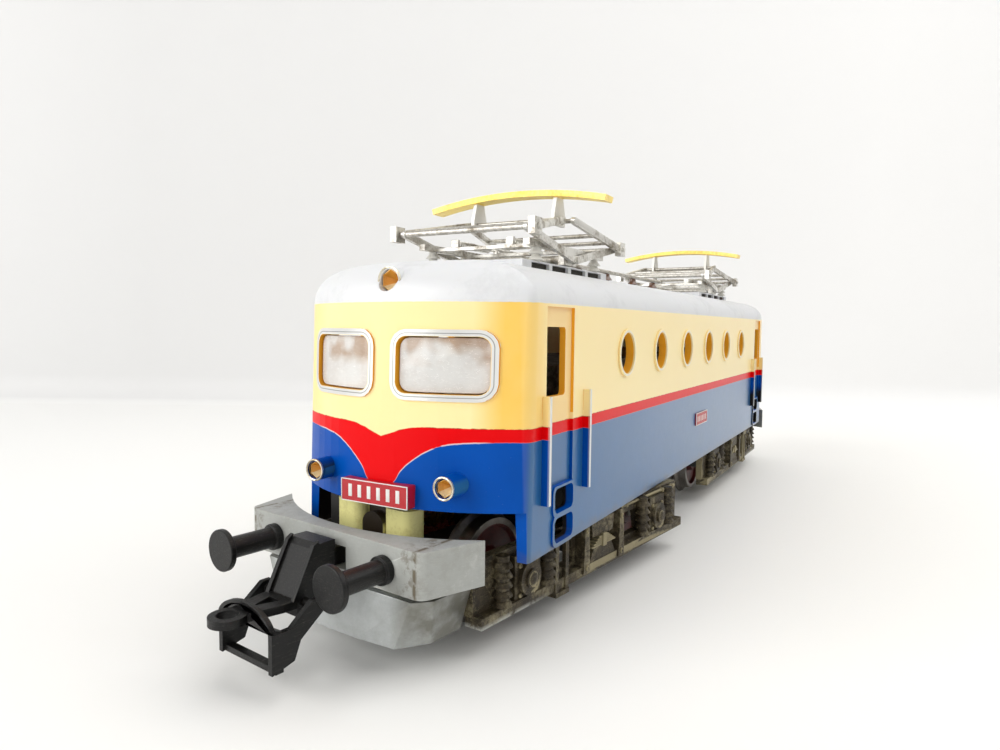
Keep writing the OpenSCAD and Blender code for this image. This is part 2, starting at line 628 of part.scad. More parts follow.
// Wheel: dished centre, tread and flange; its back is at y = 0 and it faces +Y
module wheel() rotate([-90, 0, 0]) rotate_extrude($fn = 72) polygon([[axle_r, 0], [2.6, 0], [2.9, 0.4],
    [5.2, 0.4],
    [5.5, 0], [tread_r + flange_h - 0.3, 0], [tread_r + flange_h, 0.25], [tread_r + flange_h - 0.1,
        0.6], [tread_r + 0.1, 0.95],
    [tread_r, 2.8], [5.6, 2.8], [5.4, 2.1], [2.6, 1.9], [2.3, 3], [axle_r, 3]]);
module wheels(front, side) color("brown") at_bogie(front) translate([side * axle_x, 0,
    axle_z]) on_both_sides() translate([0, back_to_back / 2, 0]) wheel();
module axle(front, side) color("silver") at_bogie(front) translate([side * axle_x, 0, axle_z])
    rod_y(axle_r, -back_to_back / 2 - 3.5, back_to_back / 2 + 3.5);

// ---------- drive ----------
gear_r = shaft_z - axle_z - worm_r;
motor_half = axle_x - axle_z - 1.6;
module_mm = 2 * gear_r / worm_teeth;
worm_pitch = PI * module_mm;
tooth = worm_pitch * 0.38;
module worm_wheel(side) color("brown") at_bogie(true) translate([side * axle_x, 0, axle_z]) rotate([90,
    0, 0]) difference() {
    linear_extrude(2.4, center = true) union() {
        circle(r = gear_r - module_mm * 1.05);
        for (i = [0:worm_teeth - 1]) rotate(90 + (i + 0.5) * 360 / worm_teeth)
            polygon([[gear_r - module_mm * 1.2, -tooth * 0.72],
            [gear_r, -tooth * 0.5], [gear_r + module_mm * 0.75, -tooth * 0.26], [gear_r
                + module_mm * 0.75, tooth * 0.26],
            [gear_r, tooth * 0.5], [gear_r - module_mm * 1.2, tooth * 0.72]]);
    }
    cylinder(r = axle_r, h = 10, center = true);
}
worm_turns = 3;
// Cross-section of a single-start thread: a root circle whose radius swells once a turn
function worm_section(n) = [for (i = [0:n - 1]) let (a = 360 * i / n, s = max(0, 1 - abs(a - 180) / 82),
    r = worm_r - module_mm * 0.95 + module_mm * 1.75 * min(1, s * 1.45)) r * [cos(a), sin(a)]];
module worm() translate([-worm_pitch * worm_turns / 2, 0, 0]) rotate([0, 90, 0])
    linear_extrude(height = worm_pitch * worm_turns, twist = -360 * worm_turns,
        slices = 12 * worm_turns) polygon(worm_section(12));
module worm_gears() color("goldenrod") at_bogie(true) for (x = [-axle_x, axle_x]) translate([x, 0,
    shaft_z]) difference() {
    worm();
    rod_x(shaft_r, -10, 10);
}
brush_x = motor_half - 2.5;
module motor_armature() color("peru") at_bogie(true) translate([0, 0, shaft_z]) {
    rod_x(shaft_r, -frame_half - 1.7, frame_half + 1.7);
    difference() {
        rod_x(5, -5, 5);
        for (a = [0:120:240]) rotate([a, 0, 0]) block([-6, -0.5, 1.8], [6, 0.5, 6]);
    }
    rod_x(1.9, brush_x - 1.7, brush_x + 1.7);
}
module motor_stator() color("darkslategray") at_bogie(true) difference() {
    block([-motor_half, -8.4, 8.3], [motor_half, 8.4, 20.6]);
    translate([0, 0, shaft_z]) rod_x(5 + gap, -motor_half + 1.8, motor_half - 0.6);
    translate([0, 0, shaft_z]) rod_x(shaft_r + fit, -motor_half - 1, motor_half + 1);
    // brush chimneys
    translate([brush_x, 0, shaft_z]) rod_y(0.82, -10, 10);
}
module motor_brushes() color("black") at_bogie(true) on_both_sides() translate([brush_x, 0,
    shaft_z]) rod_y(0.8, 1.95, 8.4);
// Cream bearing carriers that stand at both ends of the drive shaft
core_top = 11.6;
module shaft_bearings() color("palegoldenrod") at_bogie(true) at_both_ends() translate([frame_half, 0,
    0]) difference() {
    union() {
        on_both_sides() translate([0, 0, core_top + 0.02]) linear_extrude(5.4) polygon(rounded([-0.7,
            2], [2.7, 6.8], 1.4));
        block([-0.7, -4, core_top + 0.02], [1.1, 4, core_top + 5.42]);
        translate([0, 0, shaft_z]) rod_x(2, -0.5, 2.3);
    }
    translate([0, 0, shaft_z]) rod_x(shaft_r + fit, -5, 1.9);
}

// ---------- assembly ----------
body_shell();
front_glazing();
rear_glazing();
headlight_reflectors();
number_plates();
underframe();
ballast_weight();
circuit_board();
lamp_bulbs();
shell_screws();
roof_insulators();
roof_busbar();
for (front = [true, false]) {
    end = front ? "front_" : "rear_";
    at_pan(front) pan_base();
    at_pan(front) pan_insulators();
    at_pan(front) pan_springs();
    at_pan(front) lower_arm();
    at_pan(front) mirror([1, 0,
        0]) lower_arm();
    at_pan(front) upper_arm(8.2);
    at_pan(front) mirror([1, 0,
        0]) upper_arm(9.2);
    at_pan(front) collector();
    side_frames(front);
    cowl(front);
    buffer_beam(front);
    buffers(front);
    drawbar(front);
    coupler_bail(front);
    king_pin(front);
    wheels(front, 1);
    axle(front, 1);
    wheels(front, -1);
    axle(front, -1);
}
front_bogie_frame();
rear_bogie_frame();
motor_stator();
motor_armature();
worm_gears();
shaft_bearings();
motor_brushes();
worm_wheel(1);  // worm_wheel_outer
worm_wheel(-1);  // worm_wheel_inner
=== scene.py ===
"""Finishes and fine detail for the model electric locomotive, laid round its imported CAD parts."""
import json
import math

import bmesh
import bpy
from mathutils import Matrix, Vector


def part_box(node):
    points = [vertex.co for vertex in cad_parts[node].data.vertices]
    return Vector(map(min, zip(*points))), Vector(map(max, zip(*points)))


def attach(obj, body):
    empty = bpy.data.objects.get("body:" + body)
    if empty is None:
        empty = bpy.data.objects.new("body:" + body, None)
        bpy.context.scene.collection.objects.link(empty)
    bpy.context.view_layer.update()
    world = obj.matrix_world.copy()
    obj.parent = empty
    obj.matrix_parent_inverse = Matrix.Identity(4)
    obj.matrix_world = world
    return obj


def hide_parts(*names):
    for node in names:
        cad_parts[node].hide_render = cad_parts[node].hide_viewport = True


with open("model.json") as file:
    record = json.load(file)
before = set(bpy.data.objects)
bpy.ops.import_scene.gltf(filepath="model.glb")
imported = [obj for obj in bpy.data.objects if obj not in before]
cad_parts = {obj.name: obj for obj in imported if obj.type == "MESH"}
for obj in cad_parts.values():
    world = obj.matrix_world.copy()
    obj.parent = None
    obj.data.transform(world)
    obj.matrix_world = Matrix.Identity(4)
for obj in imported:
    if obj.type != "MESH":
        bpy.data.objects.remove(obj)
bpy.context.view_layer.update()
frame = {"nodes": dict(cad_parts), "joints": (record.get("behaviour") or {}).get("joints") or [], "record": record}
NODES = frame["nodes"]

bl_info = {
    "name": "Model Electric Locomotive",
    "version": (1, 0, 0),
    "blender": (4, 5, 0),
    "location": "View3D > Sidebar > Locomotive",
    "description": "Builds the finishes and fine detail of a 1:87 electric locomotive",
    "category": "Object",
}

MM = 0.001
ENDS = ("front", "rear")
BODY = Matrix.Scale(MM, 4)
BOTH_WAYS = (Matrix(), Matrix.Rotation(math.pi, 4, "Z"))
# these turn a piece that stands along +Z to lie along another axis
TO_X = Matrix.Rotation(math.pi / 2, 4, "Y")
TO_Y = Matrix.Rotation(-math.pi / 2, 4, "X")

# places on the shell, in millimetres: X and Y from the middle of the model, Z from the rail
SKIRT_Z = 12.3
WALL_LEAN = 0.036
WAIST_Z = 27.8
WINDOW_TOP_Z = 41.9
EAVES_Z = 42.15
NOSE_DEPTH = 7.5
# each pair is a distance from the centreline and the height of the red band's edge there
BAND_REACH = 17.0
BAND_LOW = (
    (0, 19.6), (2.05, 21.2), (2.84, 22.4), (4.5, 23.9), (6.5, 25.15),
    (8.24, 25.8), (9.9, 26.05), (12, 26.2), (17, 26.25),
)
BAND_HIGH = ((0, 26.35), (1.2, 26.75), (3.2, 27.4), (5.2, 27.72), (8, 27.78), (17, 27.78))
# each windscreen: its centre, half of its straight sides and the radius of its corners, along Y and Z
SCREEN_CENTRE = (7.55, 34.9)
SCREEN_HALF = (4.2, 2.0)
SCREEN_CORNER = 1.3
PORTHOLE_PITCH = 16.9
PORTHOLE_Z = 35.6
PORTHOLE_RIM = (3.16, 3.42)
HANDRAILS_X = (58.2, 70.2)
ROOF_LAMP_X = 77.5

# places on a bogie, in millimetres: X and Y from its pivot, Z from the rail; the rise is from the bail's foot
AXLE_X = 19.1
SIDE_FRAME_Y = 13.2
BEAM_CORNER_Y = 14.3
BAIL_ROOT_X = 47.9
BAIL_MIDDLE_X = 50.35
BAIL_RISE = 4.3

# the camera: its place in metres, its turns in radians and its lens in millimetres
EYE = (-0.143484, -0.053101, 0.039312)
YAW, PITCH, ROLL = 0.521, -0.068, 0.010
LENS = 25.306


def joint(name):
    return next(j for j in frame["joints"] if j["name"] == name)


def bogie_matrix(end):
    """From millimetres, measured from the bogie's pivot with its buffers towards +X, to the model's frame."""
    across = Vector(joint(f"{end}_wheelset_outer_spin")["axis"])
    along = across.cross(Vector((0, 0, 1)))
    pivot = Vector(joint(f"{end}_bogie_swing")["pos_m"])
    turn = Matrix((along, across, Vector((0, 0, 1)))).transposed().to_4x4()
    return Matrix.Translation((pivot.x, pivot.y, 0)) @ turn @ Matrix.Scale(MM, 4)


BOGIE = {end: bogie_matrix(end) for end in ENDS}


def srgb(red, green, blue):
    """A colour given as 0 to 255 on screen, as the linear values that shaders use."""
    shares = (red / 255, green / 255, blue / 255)
    return tuple(c / 12.92 if c <= 0.04045 else ((c + 0.055) / 1.055) ** 2.4 for c in shares)


def dimmed(shade, share):
    return tuple(share * v for v in shade)


# ---------------------------------------------------------------- settings


def length(name, description, default):
    return bpy.props.FloatProperty(
        name=name, description=description, default=default, unit="LENGTH", precision=5
    )


def colour(name, description, default):
    return bpy.props.FloatVectorProperty(
        name=name, description=description, default=default, subtype="COLOR", size=3, min=0, max=1
    )


LAMP_Y = sum(corner.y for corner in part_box("headlight_reflectors")) / 2 + 0.00965


class LocoSizes(bpy.types.PropertyGroup):
    """Sizes of the details that are added to the CAD parts"""

    edge: length("Edge Rounding", "Radius of the moulded edges", 0.00012)
    lamp_y: length("Headlight Spread", "Distance of the lower headlights from the centreline", LAMP_Y)
    lamp_z: length("Headlight Height", "Height of the lower headlights", 0.0214)
    lamp_radius: length("Headlight Radius", "Outer radius of a headlight tube", 0.00135)
    roof_lamp_radius: length("Roof Lamp Radius", "Outer radius of the roof headlight tube", 0.00165)
    plate_border: length("Plate Border", "Width of the light border on the number plates", 0.00011)
    spring_wire: length("Spring Wire", "Radius of the wire of the pantograph springs", 0.00013)
    bolt: length("Bolt Size", "Radius of the bolt heads on the bogies", 0.00034)


class LocoColours(bpy.types.PropertyGroup):
    """Colours of the locomotive"""

    cream: colour("Cream", "Upper body", srgb(249, 230, 172))
    amber: colour("Amber", "Bare plastic of the shell", srgb(226, 158, 44))
    red: colour("Red", "Waist band", srgb(222, 2, 10))
    blue: colour("Blue", "Lower body", srgb(0, 80, 176))
    roof: colour("Roof Grey", "Roof paint", srgb(219, 220, 222))
    white: colour("Line White", "Fine lines and rims", srgb(226, 226, 222))
    beam: colour("Beam Grey", "Buffer beams", srgb(164, 166, 162))
    cowl: colour("Cowl Silver", "Cowls under the beams", srgb(186, 190, 190))
    grime: colour("Bogie Grime", "Side frames", srgb(68, 58, 37))
    black: colour("Black", "Buffers and couplings", srgb(5, 5, 5))
    nickel: colour("Nickel", "Pantograph frames", srgb(222, 220, 214))
    gold: colour("Collector Gold", "Pantograph collectors", srgb(252, 222, 104))
    wheel: colour("Wheel Red", "Wheel centres", srgb(96, 26, 22))


# ---------------------------------------------------------------- meshes


def move(bm, matrix):
    """Transforms every vertex; a matrix that mirrors also turns the faces outwards again."""
    bmesh.ops.transform(bm, matrix=matrix, verts=bm.verts)
    if matrix.determinant() < 0:
        bmesh.ops.reverse_faces(bm, faces=bm.faces)


def join(bm, part):
    """Adds part to bm and frees it."""
    shape = bpy.data.meshes.new("part")
    part.to_mesh(shape)
    part.free()
    bm.from_mesh(shape)
    bpy.data.meshes.remove(shape)


def add_block(bm, low, high, radius=0.0, segments=2):
    """A box from corner to corner, with rounded edges."""
    part = bmesh.new()
    bmesh.ops.create_cube(part, size=1)
    low, high = Vector(low), Vector(high)
    move(part, Matrix.Translation((low + high) / 2) @ Matrix.Diagonal((*(high - low), 1)))
    if radius:
        bmesh.ops.bevel(
            part, geom=list(part.edges), offset=radius, offset_type="OFFSET", segments=segments,
            profile=0.5, material=-1, affect="EDGES", clamp_overlap=True,
        )
    join(bm, part)


def add_turned(bm, profile, matrix, steps):
    """A piece turned on a lathe: profile holds (radius, height) pairs, and the axis is +Z before matrix."""
    part = bmesh.new()
    verts = [part.verts.new((r, 0, z)) for r, z in profile]
    edges = [part.edges.new(pair) for pair in zip(verts, verts[1:])]
    bmesh.ops.spin(
        part, geom=verts + edges, cent=(0, 0, 0), axis=(0, 0, 1), angle=math.tau, steps=steps, use_merge=True
    )
    bmesh.ops.remove_doubles(part, verts=part.verts, dist=1e-4)
    bmesh.ops.recalc_face_normals(part, faces=part.faces)
    move(part, matrix)
    join(bm, part)


def add_rod(bm, radius, low, high, matrix, steps):
    """A round rod between two heights on its axis."""
    add_turned(bm, [(0.0, low), (radius, low), (radius, high), (0.0, high)], matrix, steps)


def make(bm, name, body, finish, place=None, replaces=(), smooth=32, rounding=0.0):
    """Makes a piece from bm, gives it its finish and lets it ride on its CAD body."""
    if place is not None:
        move(bm, place)
    shape = bpy.data.meshes.new(name)
    bm.to_mesh(shape)
    bm.free()
    shape.shade_smooth()
    shape.set_sharp_from_angle(angle=math.radians(smooth))
    piece = bpy.data.objects.new(name, shape)
    bpy.context.scene.collection.objects.link(piece)
    shape.materials.append(finish)
    if rounding:
        bevel = piece.modifiers.new("rounded edges", "BEVEL")
        bevel.width = rounding
        bevel.segments = 2
        bevel.limit_method = "ANGLE"
        bevel.angle_limit = math.radians(38)
    if replaces:
        # large flat faces keep their own normals, so no shading runs across them
        weighted = piece.modifiers.new("weighted normals", "WEIGHTED_NORMAL")
        weighted.keep_sharp = True
    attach(piece, body)
    if replaces:
        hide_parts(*replaces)
    return piece


def body_of_node(node):
    bodies = frame["record"]["behaviour"]["bodies"]
    return next(body for body, nodes in bodies.items() if node in nodes)


def merged(node):
    """A copy of a CAD node's mesh with its loose triangles joined into faces."""
    bm = bmesh.new()
    bm.from_mesh(NODES[node].data)
    bmesh.ops.remove_doubles(bm, verts=bm.verts, dist=2e-6)
    bmesh.ops.dissolve_degenerate(bm, edges=bm.edges, dist=2e-6)
    bmesh.ops.dissolve_limit(bm, angle_limit=math.radians(0.6), verts=bm.verts, edges=bm.edges)
    return bm


def refine(node, finish, rounding, smooth=32):
    """A merged copy of a CAD node with rounded edges, which stands for it."""
    return make(
        merged(node), f"{node}.finished", body_of_node(node), finish,
        replaces=(node,), smooth=smooth, rounding=rounding,
    )


def paint_node(node, finish):
    """Gives a CAD node its finish."""
    shape = NODES[node].data
    shape.materials.clear()
    shape.materials.append(finish)


# ---------------------------------------------------------------- shader graphs


class Graph:
    """Short names for the shader nodes that the finishes are built from"""

    def __init__(self, tree):
        self.tree = tree

    def add(self, kind, **settings):
        node = self.tree.nodes.new("ShaderNode" + kind)
        for key, value in settings.items():
            setattr(node, key, value)
        return node

    def put(self, socket, value):
        """Links a socket to another, or sets its value."""
        if isinstance(value, bpy.types.NodeSocket):
            self.tree.links.new(value, socket)
        elif socket.type == "RGBA":
            socket.default_value = (*value, 1)
        else:
            socket.default_value = value

    def fill(self, node, **values):
        """Puts values on a node's inputs; underscores in their names stand for spaces."""
        for key, value in values.items():
            self.put(node.inputs[key.replace("_", " ")], value)
        return node.outputs

    def math(self, operation, *values, clamp=False):
        node = self.add("Math", operation=operation, use_clamp=clamp)
        for socket, value in zip(node.inputs, values):
            self.put(socket, value)
        return node.outputs[0]

    def plus(self, first, second, clamp=False):
        return self.math("ADD", first, second, clamp=clamp)

    def minus(self, first, second, clamp=False):
        return self.math("SUBTRACT", first, second, clamp=clamp)

    def times(self, result, *others):
        for value in others:
            result = self.math("MULTIPLY", result, value)
        return result

    def inverse(self, value):
        return self.minus(1.0, value)

    def absolute(self, value):
        return self.math("ABSOLUTE", value)

    def gap(self, first, second):
        """How far apart two values are."""
        return self.absolute(self.minus(first, second))

    def larger(self, first, second):
        return self.math("MAXIMUM", first, second)

    def diagonal(self, first, second):
        """The length of a line that runs first along one axis and second along the other."""
        return self.math("SQRT", self.plus(self.times(first, first), self.times(second, second)))

    def vector(self, operation, *values, output="Vector"):
        node = self.add("VectorMath", operation=operation)
        for socket, value in zip(node.inputs, values):
            self.put(socket, value)
        return node.outputs[output]

    def step(self, value, edge, soft=0.02):
        """0 below edge and 1 above it."""
        node = self.add("MapRange")
        if isinstance(edge, bpy.types.NodeSocket):
            low, high = self.minus(edge, soft), self.plus(edge, soft)
        else:
            low, high = edge - soft, edge + soft
        return self.fill(node, Value=value, From_Min=low, From_Max=high)["Result"]

    def below(self, value, edge, soft=0.02):
        """1 below edge and 0 above it."""
        return self.inverse(self.step(value, edge, soft))

    def between(self, value, low, high, soft=0.02):
        return self.minus(self.step(value, low, soft), self.step(value, high, soft))

    def mix(self, factor, first, second):
        """Turns from one colour to another."""
        node = self.add("Mix", data_type="RGBA")
        for index, value in ((0, factor), (6, first), (7, second)):
            self.put(node.inputs[index], value)
        return node.outputs[2]

    def layers(self, base, *coats):
        """Lays coats over a base colour, each a mask and its own colour."""
        for mask, tone in coats:
            base = self.mix(mask, base, tone)
        return base

    def blend(self, factor, first, second):
        """Turns from one number to another."""
        node = self.add("Mix", data_type="FLOAT")
        for index, value in ((0, factor), (2, first), (3, second)):
            self.put(node.inputs[index], value)
        return node.outputs[0]

    def place(self):
        """Object coordinates in millimetres."""
        node = self.add("VectorMath", operation="SCALE")
        self.put(node.inputs[0], self.add("TexCoord").outputs["Object"])
        node.inputs["Scale"].default_value = 1 / MM
        return node.outputs[0]

    def split(self, vector):
        node = self.add("SeparateXYZ")
        self.put(node.inputs[0], vector)
        return node.outputs[0], node.outputs[1], node.outputs[2]

    def facing(self):
        """The way that the surface faces, along each axis."""
        return self.split(self.add("TexCoord").outputs["Normal"])

    def noise(self, vector, scale, detail=3.0, rough=0.55):
        node = self.add("TexNoise")
        return self.fill(node, Vector=vector, Scale=scale, Detail=detail, Roughness=rough)["Fac"]

    def bump(self, height, strength, distance):
        return self.fill(self.add("Bump"), Strength=strength, Distance=distance, Height=height)["Normal"]

    def curve(self, value, reach, points):
        """A value read from a smooth curve through points, over 0 to reach."""
        node = self.add("FloatCurve")
        self.put(node.inputs["Value"], self.math("DIVIDE", value, reach, clamp=True))
        line = node.mapping.curves[0]
        low, high = min(p[1] for p in points), max(p[1] for p in points)
        while len(line.points) < len(points):
            line.points.new(0.5, 0.5)
        for point, (x, y) in zip(line.points, points):
            point.location = (x / reach, (y - low) / (high - low))
            point.handle_type = "AUTO"
        node.mapping.update()
        return self.plus(self.times(node.outputs[0], high - low), low)


def grouped(g, name, build, place, **settings):
    """Masks from a node group that several finishes share; build makes it once, on first use."""
    tree = bpy.data.node_groups.get(name)
    if tree is None:
        tree = bpy.data.node_groups.new(name, "ShaderNodeTree")
        tree.interface.new_socket("Place", in_out="INPUT", socket_type="NodeSocketVector")
        for label in settings:
            tree.interface.new_socket(label, in_out="INPUT", socket_type="NodeSocketFloat")
        masks = build(Graph(tree), tree.nodes.new("NodeGroupInput").outputs)
        for label in masks:
            tree.interface.new_socket(label, in_out="OUTPUT", socket_type="NodeSocketFloat")
        result = tree.nodes.new("NodeGroupOutput")
        for label, mask in masks.items():
            Graph(tree).put(result.inputs[label], mask)
    return g.fill(g.add("Group", node_tree=tree), Place=place, **settings)


def speckle(g, place, scale, size, rarity):
    """Scattered dust specks."""

    def build(g, given):
        cells = g.fill(g.add("TexVoronoi", feature="F1"), Vector=given["Place"], Scale=given["Scale"])
        cloud = g.noise(given["Place"], g.times(given["Scale"], 0.21), 1.0)
        dot = g.below(cells["Distance"], given["Size"], 0.03)
        return {"Mask": g.times(dot, g.step(cloud, given["Rarity"], 0.05))}

    return grouped(g, "dust specks", build, place, Scale=scale, Size=size, Rarity=rarity)["Mask"]


def wear(g, place, scale, edge=0.56, hollow=0.46):
    """Rubbed convex edges and dirty hollows, broken up by noise."""

    def build(g, given):
        point = g.add("NewGeometry").outputs["Pointiness"]
        rough = g.noise(given["Place"], given["Scale"], 5.0, 0.7)
        shifted = g.plus(point, g.times(g.minus(rough, 0.5), 0.12))
        hollows = g.below(shifted, given["Hollow"], 0.03)
        return {"Edges": g.step(shifted, given["Edge"], 0.02), "Hollows": hollows}

    masks = grouped(g, "edge wear", build, place, Scale=scale, Edge=edge, Hollow=hollow)
    return masks["Edges"], masks["Hollows"]


def grime(g, place, scale, level):
    """Cloudy patches, and the finer grain within them."""

    def build(g, given):
        large = g.noise(given["Place"], given["Scale"], 2.0)
        small = g.noise(given["Place"], g.times(given["Scale"], 6.3), 6.0, 0.68)
        both = g.plus(g.times(large, 0.55), g.times(small, 0.45))
        return {"Patches": g.step(both, given["Level"], 0.09), "Fine": small}

    masks = grouped(g, "grime patches", build, place, Scale=scale, Level=level)
    return masks["Patches"], masks["Fine"]


def scratches(g, place, scale, amount):
    """Hairline scratches that run mostly one way."""

    def build(g, given):
        turn = g.add("Mapping")
        drawn_out = g.fill(turn, Vector=given["Place"], Rotation=(0.4, 0.9, 0.3), Scale=(0.12, 1.0, 3.4))[0]
        lines = g.noise(drawn_out, given["Scale"], 2.0, 0.5)
        return {"Mask": g.times(g.between(lines, 0.595, 0.605, 0.004), given["Amount"])}

    return grouped(g, "hairline scratches", build, place, Scale=scale, Amount=amount)["Mask"]


# ---------------------------------------------------------------- finishes


def finish(name, roughness=0.5, metallic=0.0, specular=0.5, coat=0.0):
    """A new material, with its graph, its Principled shader and the place on the surface."""
    material = bpy.data.materials.new(name)
    material.use_nodes = True
    material.node_tree.nodes.clear()
    g = Graph(material.node_tree)
    shader = g.add("BsdfPrincipled")
    g.fill(g.add("OutputMaterial"), Surface=shader.outputs[0])
    g.fill(
        shader, Roughness=roughness, Metallic=metallic, Specular_IOR_Level=specular,
        Coat_Weight=coat, Coat_Roughness=0.12,
    )
    return material, g, shader, g.place()


def shell_finish(c):
    """Banded paint over amber plastic, with silver rims, fine lines and dust."""
    material, g, shader, place = finish("banded shell paint", specular=0.08)
    x, y, z = g.split(place)
    nx, ny = g.facing()[:2]
    ax, ay = g.absolute(x), g.absolute(y)
    side_facing = g.step(g.absolute(ny), 0.5, 0.1)
    front_facing = g.step(g.absolute(nx), 0.4, 0.1)
    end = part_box("body_shell")[1].x / MM
    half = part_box("body_shell")[1].y / MM - 1.0
    upright = g.plus(ay, g.times(g.minus(z, SKIRT_Z), WALL_LEAN))
    at_front = g.step(ax, end - NOSE_DEPTH, 0.3)
    on_side = g.inverse(at_front)

    # the bands, whose edges waver a little as brushed paint does
    paint_z = g.plus(z, g.times(g.minus(g.noise(place, 1.4), 0.5), 0.12))
    band_low, band_high = (g.curve(ay, BAND_REACH, points) for points in (BAND_LOW, BAND_HIGH))
    above = g.step(paint_z, band_low, 0.03)
    in_blue = g.inverse(above)
    in_red = g.minus(above, g.step(paint_z, band_high, 0.03))
    in_roof = g.step(paint_z, EAVES_Z, 0.04)
    pin_line = g.times(g.below(g.gap(paint_z, band_low), 0.07, 0.04), g.between(ay, 2.2, 12.5, 0.8), at_front)
    pin_line = g.times(pin_line, g.step(g.noise(place, 0.8), 0.36, 0.06))
    seam = g.below(g.gap(paint_z, band_high), 0.05, 0.04)

    # bare plastic shows in the recesses of windows and doors, and painted shade darkens the door recess and the
    # low inner faces
    window_z = g.between(z, 28.6, WINDOW_TOP_Z)
    window_side = g.times(g.inverse(side_facing), g.between(ay, 15.0, half + 0.03), on_side, window_z)
    window_front = g.times(g.inverse(front_facing), g.below(ay, 14.4), at_front, g.between(z, 30.9, 38.9))
    bare = g.plus(window_side, window_front, clamp=True)
    inside = g.below(upright, half - 0.7, 0.05)
    inside = g.times(inside, g.inverse(g.plus(at_front, g.step(z, 41.5), clamp=True)))
    inward = g.below(g.plus(g.times(nx, x), g.times(ny, y)), -6.0, 3.0)
    deep = g.times(g.below(upright, half - 0.55, 0.1), on_side)
    shade = g.times(g.larger(inward, deep), g.below(z, 22.5, 1.0))
    # painted shade: the recessed lower door panel is darkened
    door_recess_shade = g.times(side_facing, g.below(upright, half - 0.15, 0.06))
    door_recess_shade = g.times(door_recess_shade, g.between(z, 19.6, WAIST_Z), g.between(ax, 61.2, 70.0))
    door_panel = g.times(side_facing, g.between(ay, half - 0.6, half - 0.2, 0.1))
    door_panel = g.times(door_panel, g.between(z, WAIST_Z, WINDOW_TOP_Z), g.between(ax, 60.5, 70.6))

    # silver rims
    beyond = [
        g.larger(g.minus(g.gap(value, centre), reach), 0.0)
        for value, centre, reach in zip((ay, z), SCREEN_CENTRE, SCREEN_HALF)
    ]
    screen = g.minus(g.diagonal(*beyond), SCREEN_CORNER)
    screen_rim = g.times(g.between(screen, 0.04, 0.8), at_front, front_facing)
    # painted shade: a dark grey line within the silver windscreen rim, for the shade in a groove between its two
    # lines
    groove_shade = g.times(g.between(screen, 0.3, 0.4), at_front, front_facing)
    along = g.minus(g.math("FRACT", g.math("DIVIDE", x, PORTHOLE_PITCH)), 0.5)
    ring = g.diagonal(g.times(along, PORTHOLE_PITCH), g.minus(z, PORTHOLE_Z))
    port_rim = g.times(g.between(ring, *PORTHOLE_RIM), g.step(ay, half - 0.1), g.below(ax, 48.0))
    rail = g.math("MINIMUM", *(g.gap(ax, rail_x) for rail_x in HANDRAILS_X))
    rail_edge = g.times(g.step(ay, half + 0.8, 0.06), g.between(z, 18.0, 32.0), g.below(rail, 0.28, 0.06))
    silver = g.plus(g.plus(screen_rim, g.times(port_rim, 0.7)), rail_edge, clamp=True)
    louvre = g.times(g.between(ay, 8.2, 8.8), side_facing, g.between(z, 47.3, 48.3), g.step(z, 46.9))

    # painted light: the front corners turn amber, as if light glowed through the plastic in shade, most on the -Y
    # side
    painted_corner_glow = g.times(g.between(ay, 12.6, 17.4, 1.6), g.between(ax, 70.0, 78.6, 1.8))
    painted_corner_glow = g.times(painted_corner_glow, g.between(z, WAIST_Z, 42.2), g.blend(g.step(y, 0), 0.9, 0.3))
    warm_cream = tuple(0.6 * a + 0.4 * b for a, b in zip(c.cream, c.amber))
    cream = g.layers(
        c.cream,
        (g.times(g.noise(place, 0.09, 2.0), 0.3), warm_cream),
        (g.times(painted_corner_glow, g.blend(g.noise(place, 0.25, 2.0), 0.7, 1.0)), srgb(243, 192, 62)),
        (g.times(door_panel, 0.3), c.amber),
    )
    blue = g.layers(
        c.blue,
        (g.noise(place, 0.2, 4.0), dimmed(c.blue, 0.72)),
        # painted reflection: faces turned to the side go a pale grey-teal, for the glare of the backdrop on the
        # glossy paint
        (g.times(g.step(g.absolute(ny), 0.85, 0.1), 0.55), srgb(52, 108, 126)),
    )
    roof = g.mix(g.times(grime(g, place, 0.11, 0.6)[0], 0.3), c.roof, dimmed(c.roof, 0.6))

    specks = g.larger(speckle(g, place, 0.8, 0.05, 0.6), speckle(g, place, 2.3, 0.05, 0.6))
    dust = g.times(specks, g.blend(in_blue, 0.06, 0.24))
    foot = g.below(g.plus(z, g.times(g.noise(place, 0.5), 3.0)), 14.2, 0.9)
    base = g.layers(
        cream,
        (in_blue, blue),
        (in_red, c.red),
        (g.times(pin_line, 0.7), c.white),
        (g.times(seam, g.step(g.noise(place, 0.9, 4.0), 0.5, 0.1), 0.6), (0.1, 0.01, 0.005)),
        (in_roof, roof),
        (bare, c.amber),
        (inside, c.amber),
        (g.times(door_recess_shade, 0.4), (0.01, 0.025, 0.05)),
        (shade, (0.012, 0.01, 0.009)),
        (silver, (0.7, 0.7, 0.69)),
        (groove_shade, (0.3, 0.3, 0.29)),
        (louvre, (0.045, 0.042, 0.035)),
        (dust, (0.75, 0.74, 0.7)),
        (g.times(foot, 0.55), (0.09, 0.08, 0.06)),
    )
